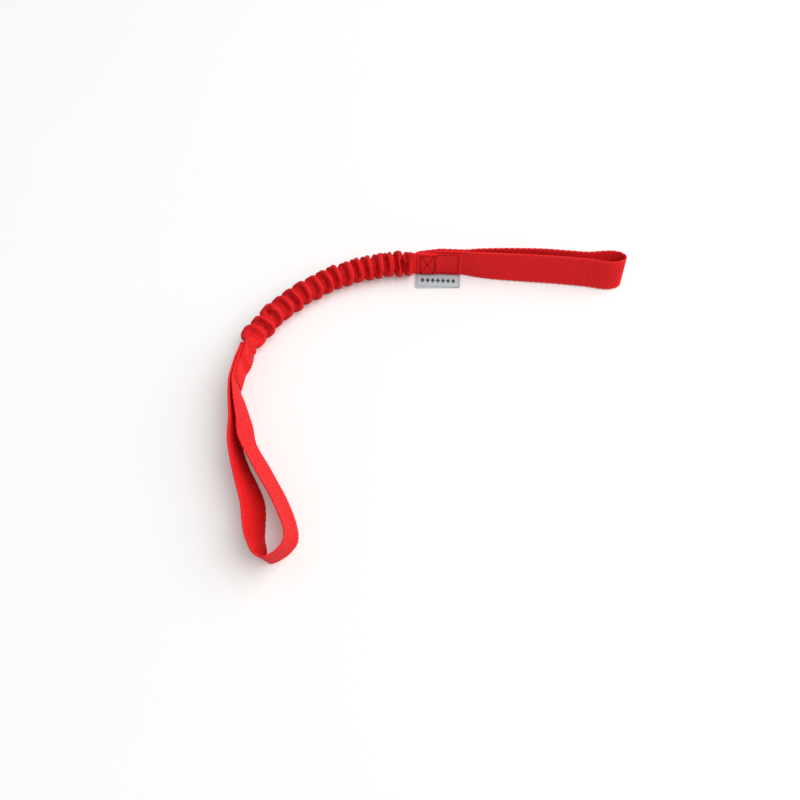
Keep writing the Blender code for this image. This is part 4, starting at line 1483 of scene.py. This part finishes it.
def stitches(loop, kind, outward, look, name):
    """One piece of many stitches.

    Each is a round thread that rises out of the cloth, runs along the face and dives back in, so
    its middle line is a low arch: a power of a half wave. It is thinner at both ends.
    """
    starts, ends = stitch_row(seam_lines(loop, kind), look.pitch)
    t = np.linspace(0, 1, STITCH_STEPS)
    turn = full_turn(STITCH_SIDES)
    radius = look.diameter / 2
    half_wave = np.sin(math.pi * t)
    lift = outward * radius * (ARCH_RISE * half_wave**0.4 - ARCH_DEPTH)
    thin = radius * (THIN_END + (1 - THIN_END) * half_wave**0.5)
    run = ends - starts
    size = np.linalg.norm(run, axis=1)[:, None]
    ahead = run / size
    aside = np.stack([-ahead[:, 1], ahead[:, 0]], -1)
    middle = starts[:, None] + t[None, :, None] * run[:, None]
    off = (thin[:, None] * np.cos(turn)[None])[None, ..., None]
    flat = middle[:, :, None] + off * aside[:, None, None]
    if outward > 0:
        face = BACK_LAYER + WEBBING_THICKNESS / 2
    else:
        face = (TAB_LAYER - tab_faces(loop, middle[..., 0])[0])[..., None]
    height = face + (lift[:, None] + thin[:, None] * np.sin(turn)[None])[None] + 0 * flat[..., 0]
    points = in_toy(stack_points(loop, flat[..., 0], flat[..., 1], height), loop)
    around = 2 * math.pi * radius * np.arange(STITCH_SIDES + 1) / STITCH_SIDES
    along = t[None, :, None] * size[:, :, None]
    uv = np.stack(np.broadcast_arrays(around[None, None], along + 0 * around[None, None]), -1)
    return stacked(name, points, uv, sewing_thread(loop), outward=loop is HAND)


class TUG_OT_patches(bpy.types.Operator):
    """Sew the crossed boxes and the long boxes through tabs and straps"""

    bl_idname = "tug.patches"
    bl_label = "Sewn patches"

    def execute(self, context):
        look = settings().thread
        for loop, body in ((HAND, "hand_loop"), (FAR, "far_loop")):
            for thread, outward in (("upper_thread", -1), ("lower_thread", 1)):
                for kind in ("cross", "box"):
                    node_name = f"{loop.name}_{kind}_{thread}"
                    piece = stitches(loop, kind, outward, look, f"{node_name}_stitches")
                    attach(piece, body)
                    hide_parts(node_name)
        return {"FINISHED"}


# The label's cloth; and the soft waves of its upper leaf: how high, and radians to the metre
LABEL_CLOTH = 0.00024
LABEL_PUFF = 0.00016
LABEL_WAVE = 150


def label_surface():
    """The folded label as an open grid with its weave, and its cloth's length over the fold.

    Each column runs out along one leaf, round the fold on a half circle, and back along the other.
    How far it reaches is skewed along the label, and rounded off by a circle at both corners.
    """
    lift = (LABEL_THICKNESS - LABEL_CLOTH) / 2
    inner = floor_across(HAND, NEAR_LAYER - WEBBING_THICKNESS / 2) - CLEARANCE
    tab_edge = floor_across(HAND, TAB_LAYER - TAB_THICKNESS / 2)
    x = LABEL_LENGTH / 2 * np.sin(np.linspace(-1, 1, 75) * math.pi / 2)
    over = np.clip((np.abs(x) - (LABEL_LENGTH / 2 - LABEL_CORNER)) / LABEL_CORNER, 0, 1)
    rounding = LABEL_CORNER * (1 - np.sqrt(1 - over**2))
    reach = LABEL_REACH - LABEL_SKEW * x / LABEL_LENGTH - rounding
    reach = reach - lift - LABEL_CLOTH / 2
    t = np.linspace(0, 1, 40)[:, None]
    turn = np.linspace(math.pi / 2, -math.pi / 2, 11)[1:-1]
    leaf = t * reach[None] + (1 - t) * (tab_edge - inner)
    out = np.concatenate([leaf, reach[None] + lift * np.cos(turn)[:, None], leaf[::-1]])
    level = np.full(len(t), lift)
    height = np.concatenate([level, lift * np.sin(turn), -level])[:, None]
    puff = LABEL_PUFF * np.sin(LABEL_WAVE * x[None] + 1.0) * smooth_share(out / LABEL_REACH)
    z = LABEL_THICKNESS / 2 + height + puff * (height > 0)
    along = LABEL_SETBACK + LABEL_LENGTH / 2 + x[None]
    points = np.stack(np.broadcast_arrays(along, tab_edge - out, z), -1)
    uv = np.stack(np.broadcast_arrays(x[None], out), -1)
    return in_toy(points, HAND), uv, 2 * (LABEL_REACH + inner - tab_edge)


class TUG_OT_label(bpy.types.Operator):
    """Fold the woven label and lay it under the hand patch"""

    bl_idname = "tug.label"
    bl_label = "Woven label"

    def execute(self, context):
        points, uv, fold = label_surface()
        label = lattice("folded_label", points, uv, label_cloth(), closed=False, outward=False)
        wall = label.modifiers.new("cloth", "SOLIDIFY")
        wall.thickness = LABEL_CLOTH
        wall.offset = 0
        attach(label, "label")
        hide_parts("woven_label")
        return {"FINISHED"}


# The stage: half the floor's width and how far it lies under the toy, its glow to the camera, the
# lamp, and the camera with its place, tilt and lens
FLOOR_HALF_WIDTH = 2.5
FLOOR_DROP = 0.0002
FLOOR_GLOW = 0.16
FLOOR_GLOW_COLOUR = (1.0, 0.98, 0.95, 1.0)
LAMP_SIZE = 6.6
LAMP_PLACE = (2.84, 0.40, 3.44)
CAMERA_PLACE = (-0.029851, -0.267639, 0.459)
CAMERA_TILT = math.radians(30)
CAMERA_LENS = 31.5
CAMERA_SENSOR = 36.0


def pale_floor(look):
    """Pale, faintly cloudy floor, which looks a little brighter to the camera alone.

    That brings its backdrop near white and keeps the shadows.
    """
    made, tree, shader = new_material("pale_floor", Roughness=0.7, Specular_IOR_Level=0.2)
    cloudy = noise(tree, object_places(tree), 3.0, 3.0)
    darker = opaque(0.97 * c for c in look.floor)
    colour = mix_colours(tree, cloudy, darker, opaque(look.floor))
    tree.links.new(colour, shader.inputs["Base Color"])
    seen = node(tree, "ShaderNodeLightPath").outputs["Is Camera Ray"]
    shader.inputs["Emission Color"].default_value = FLOOR_GLOW_COLOUR
    glow = maths(tree, "MULTIPLY", seen, FLOOR_GLOW)
    tree.links.new(glow, shader.inputs["Emission Strength"])
    return made


class TUG_OT_stage(bpy.types.Operator):
    """Lay the pale floor, set the light and stand the camera where the photograph was taken"""

    bl_idname = "tug.stage"
    bl_label = "Stage"

    def execute(self, context):
        look = settings().stage
        scene = context.scene
        side = np.linspace(-FLOOR_HALF_WIDTH, FLOOR_HALF_WIDTH, 41)
        x, y = np.meshgrid(side, side, indexing="ij")
        ground = np.stack([x, y, 0 * x - FLOOR_DROP], -1)
        floor = lattice("floor", ground, ground[..., :2], pale_floor(look), closed=False)
        lamp = bpy.data.lights.new("key_lamp", "AREA")
        lamp.shape = "DISK"
        lamp.size = LAMP_SIZE
        lamp.energy = look.key
        key = bpy.data.objects.new("key_lamp", lamp)
        key.location = LAMP_PLACE
        key.rotation_euler = (-Vector(key.location)).to_track_quat("-Z", "Y").to_euler()
        scene.collection.objects.link(key)
        world = bpy.data.worlds.new("soft_light")
        scene.world = world
        world.use_nodes = True
        sky = world.node_tree.nodes["Background"]
        sky.inputs["Color"].default_value = (1.0, 1.0, 1.0, 1.0)
        sky.inputs["Strength"].default_value = look.fill
        camera = bpy.data.objects.new("camera", bpy.data.cameras.new("camera"))
        camera.data.lens = CAMERA_LENS
        camera.data.sensor_width = CAMERA_SENSOR
        camera.data.clip_start = 0.01
        camera.location = CAMERA_PLACE
        camera.rotation_euler = (CAMERA_TILT, 0, 0)
        scene.collection.objects.link(camera)
        scene.camera = camera
        scene.view_settings.view_transform = "Standard"
        return {"FINISHED"}


class TUG_PT_toy(bpy.types.Panel):
    """Lists the steps that build the toy, and its settings"""

    bl_idname = "TUG_PT_toy"
    bl_label = "Bungee tug toy"
    bl_space_type = "VIEW_3D"
    bl_region_type = "UI"
    bl_category = "Tug toy"

    def draw(self, context):
        for operator in OPERATORS:
            self.layout.operator(operator.bl_idname)
        for name in TugSettings.__annotations__:
            group = getattr(settings(), name)
            box = self.layout.box()
            box.label(text=name.capitalize())
            for key in type(group).__annotations__:
                box.prop(group, key)


OPERATORS = (
    TUG_OT_straps, TUG_OT_sleeve, TUG_OT_elastic, TUG_OT_patches, TUG_OT_label, TUG_OT_stage
)
CLASSES = (
    TugWebbing, TugSleeve, TugThread, TugLabel, TugStage, TugSettings, *OPERATORS, TUG_PT_toy
)


def register():
    for item in CLASSES:
        bpy.utils.register_class(item)
    bpy.types.Scene.tug = PointerProperty(type=TugSettings)


def unregister():
    del bpy.types.Scene.tug
    for item in reversed(CLASSES):
        bpy.utils.unregister_class(item)


def main():
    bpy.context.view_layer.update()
    register()
    bpy.ops.tug.straps()
    bpy.ops.tug.sleeve()
    bpy.ops.tug.elastic()
    bpy.ops.tug.patches()
    bpy.ops.tug.label()
    bpy.ops.tug.stage()
    bpy.context.view_layer.update()


if __name__ == "__main__":
    main()
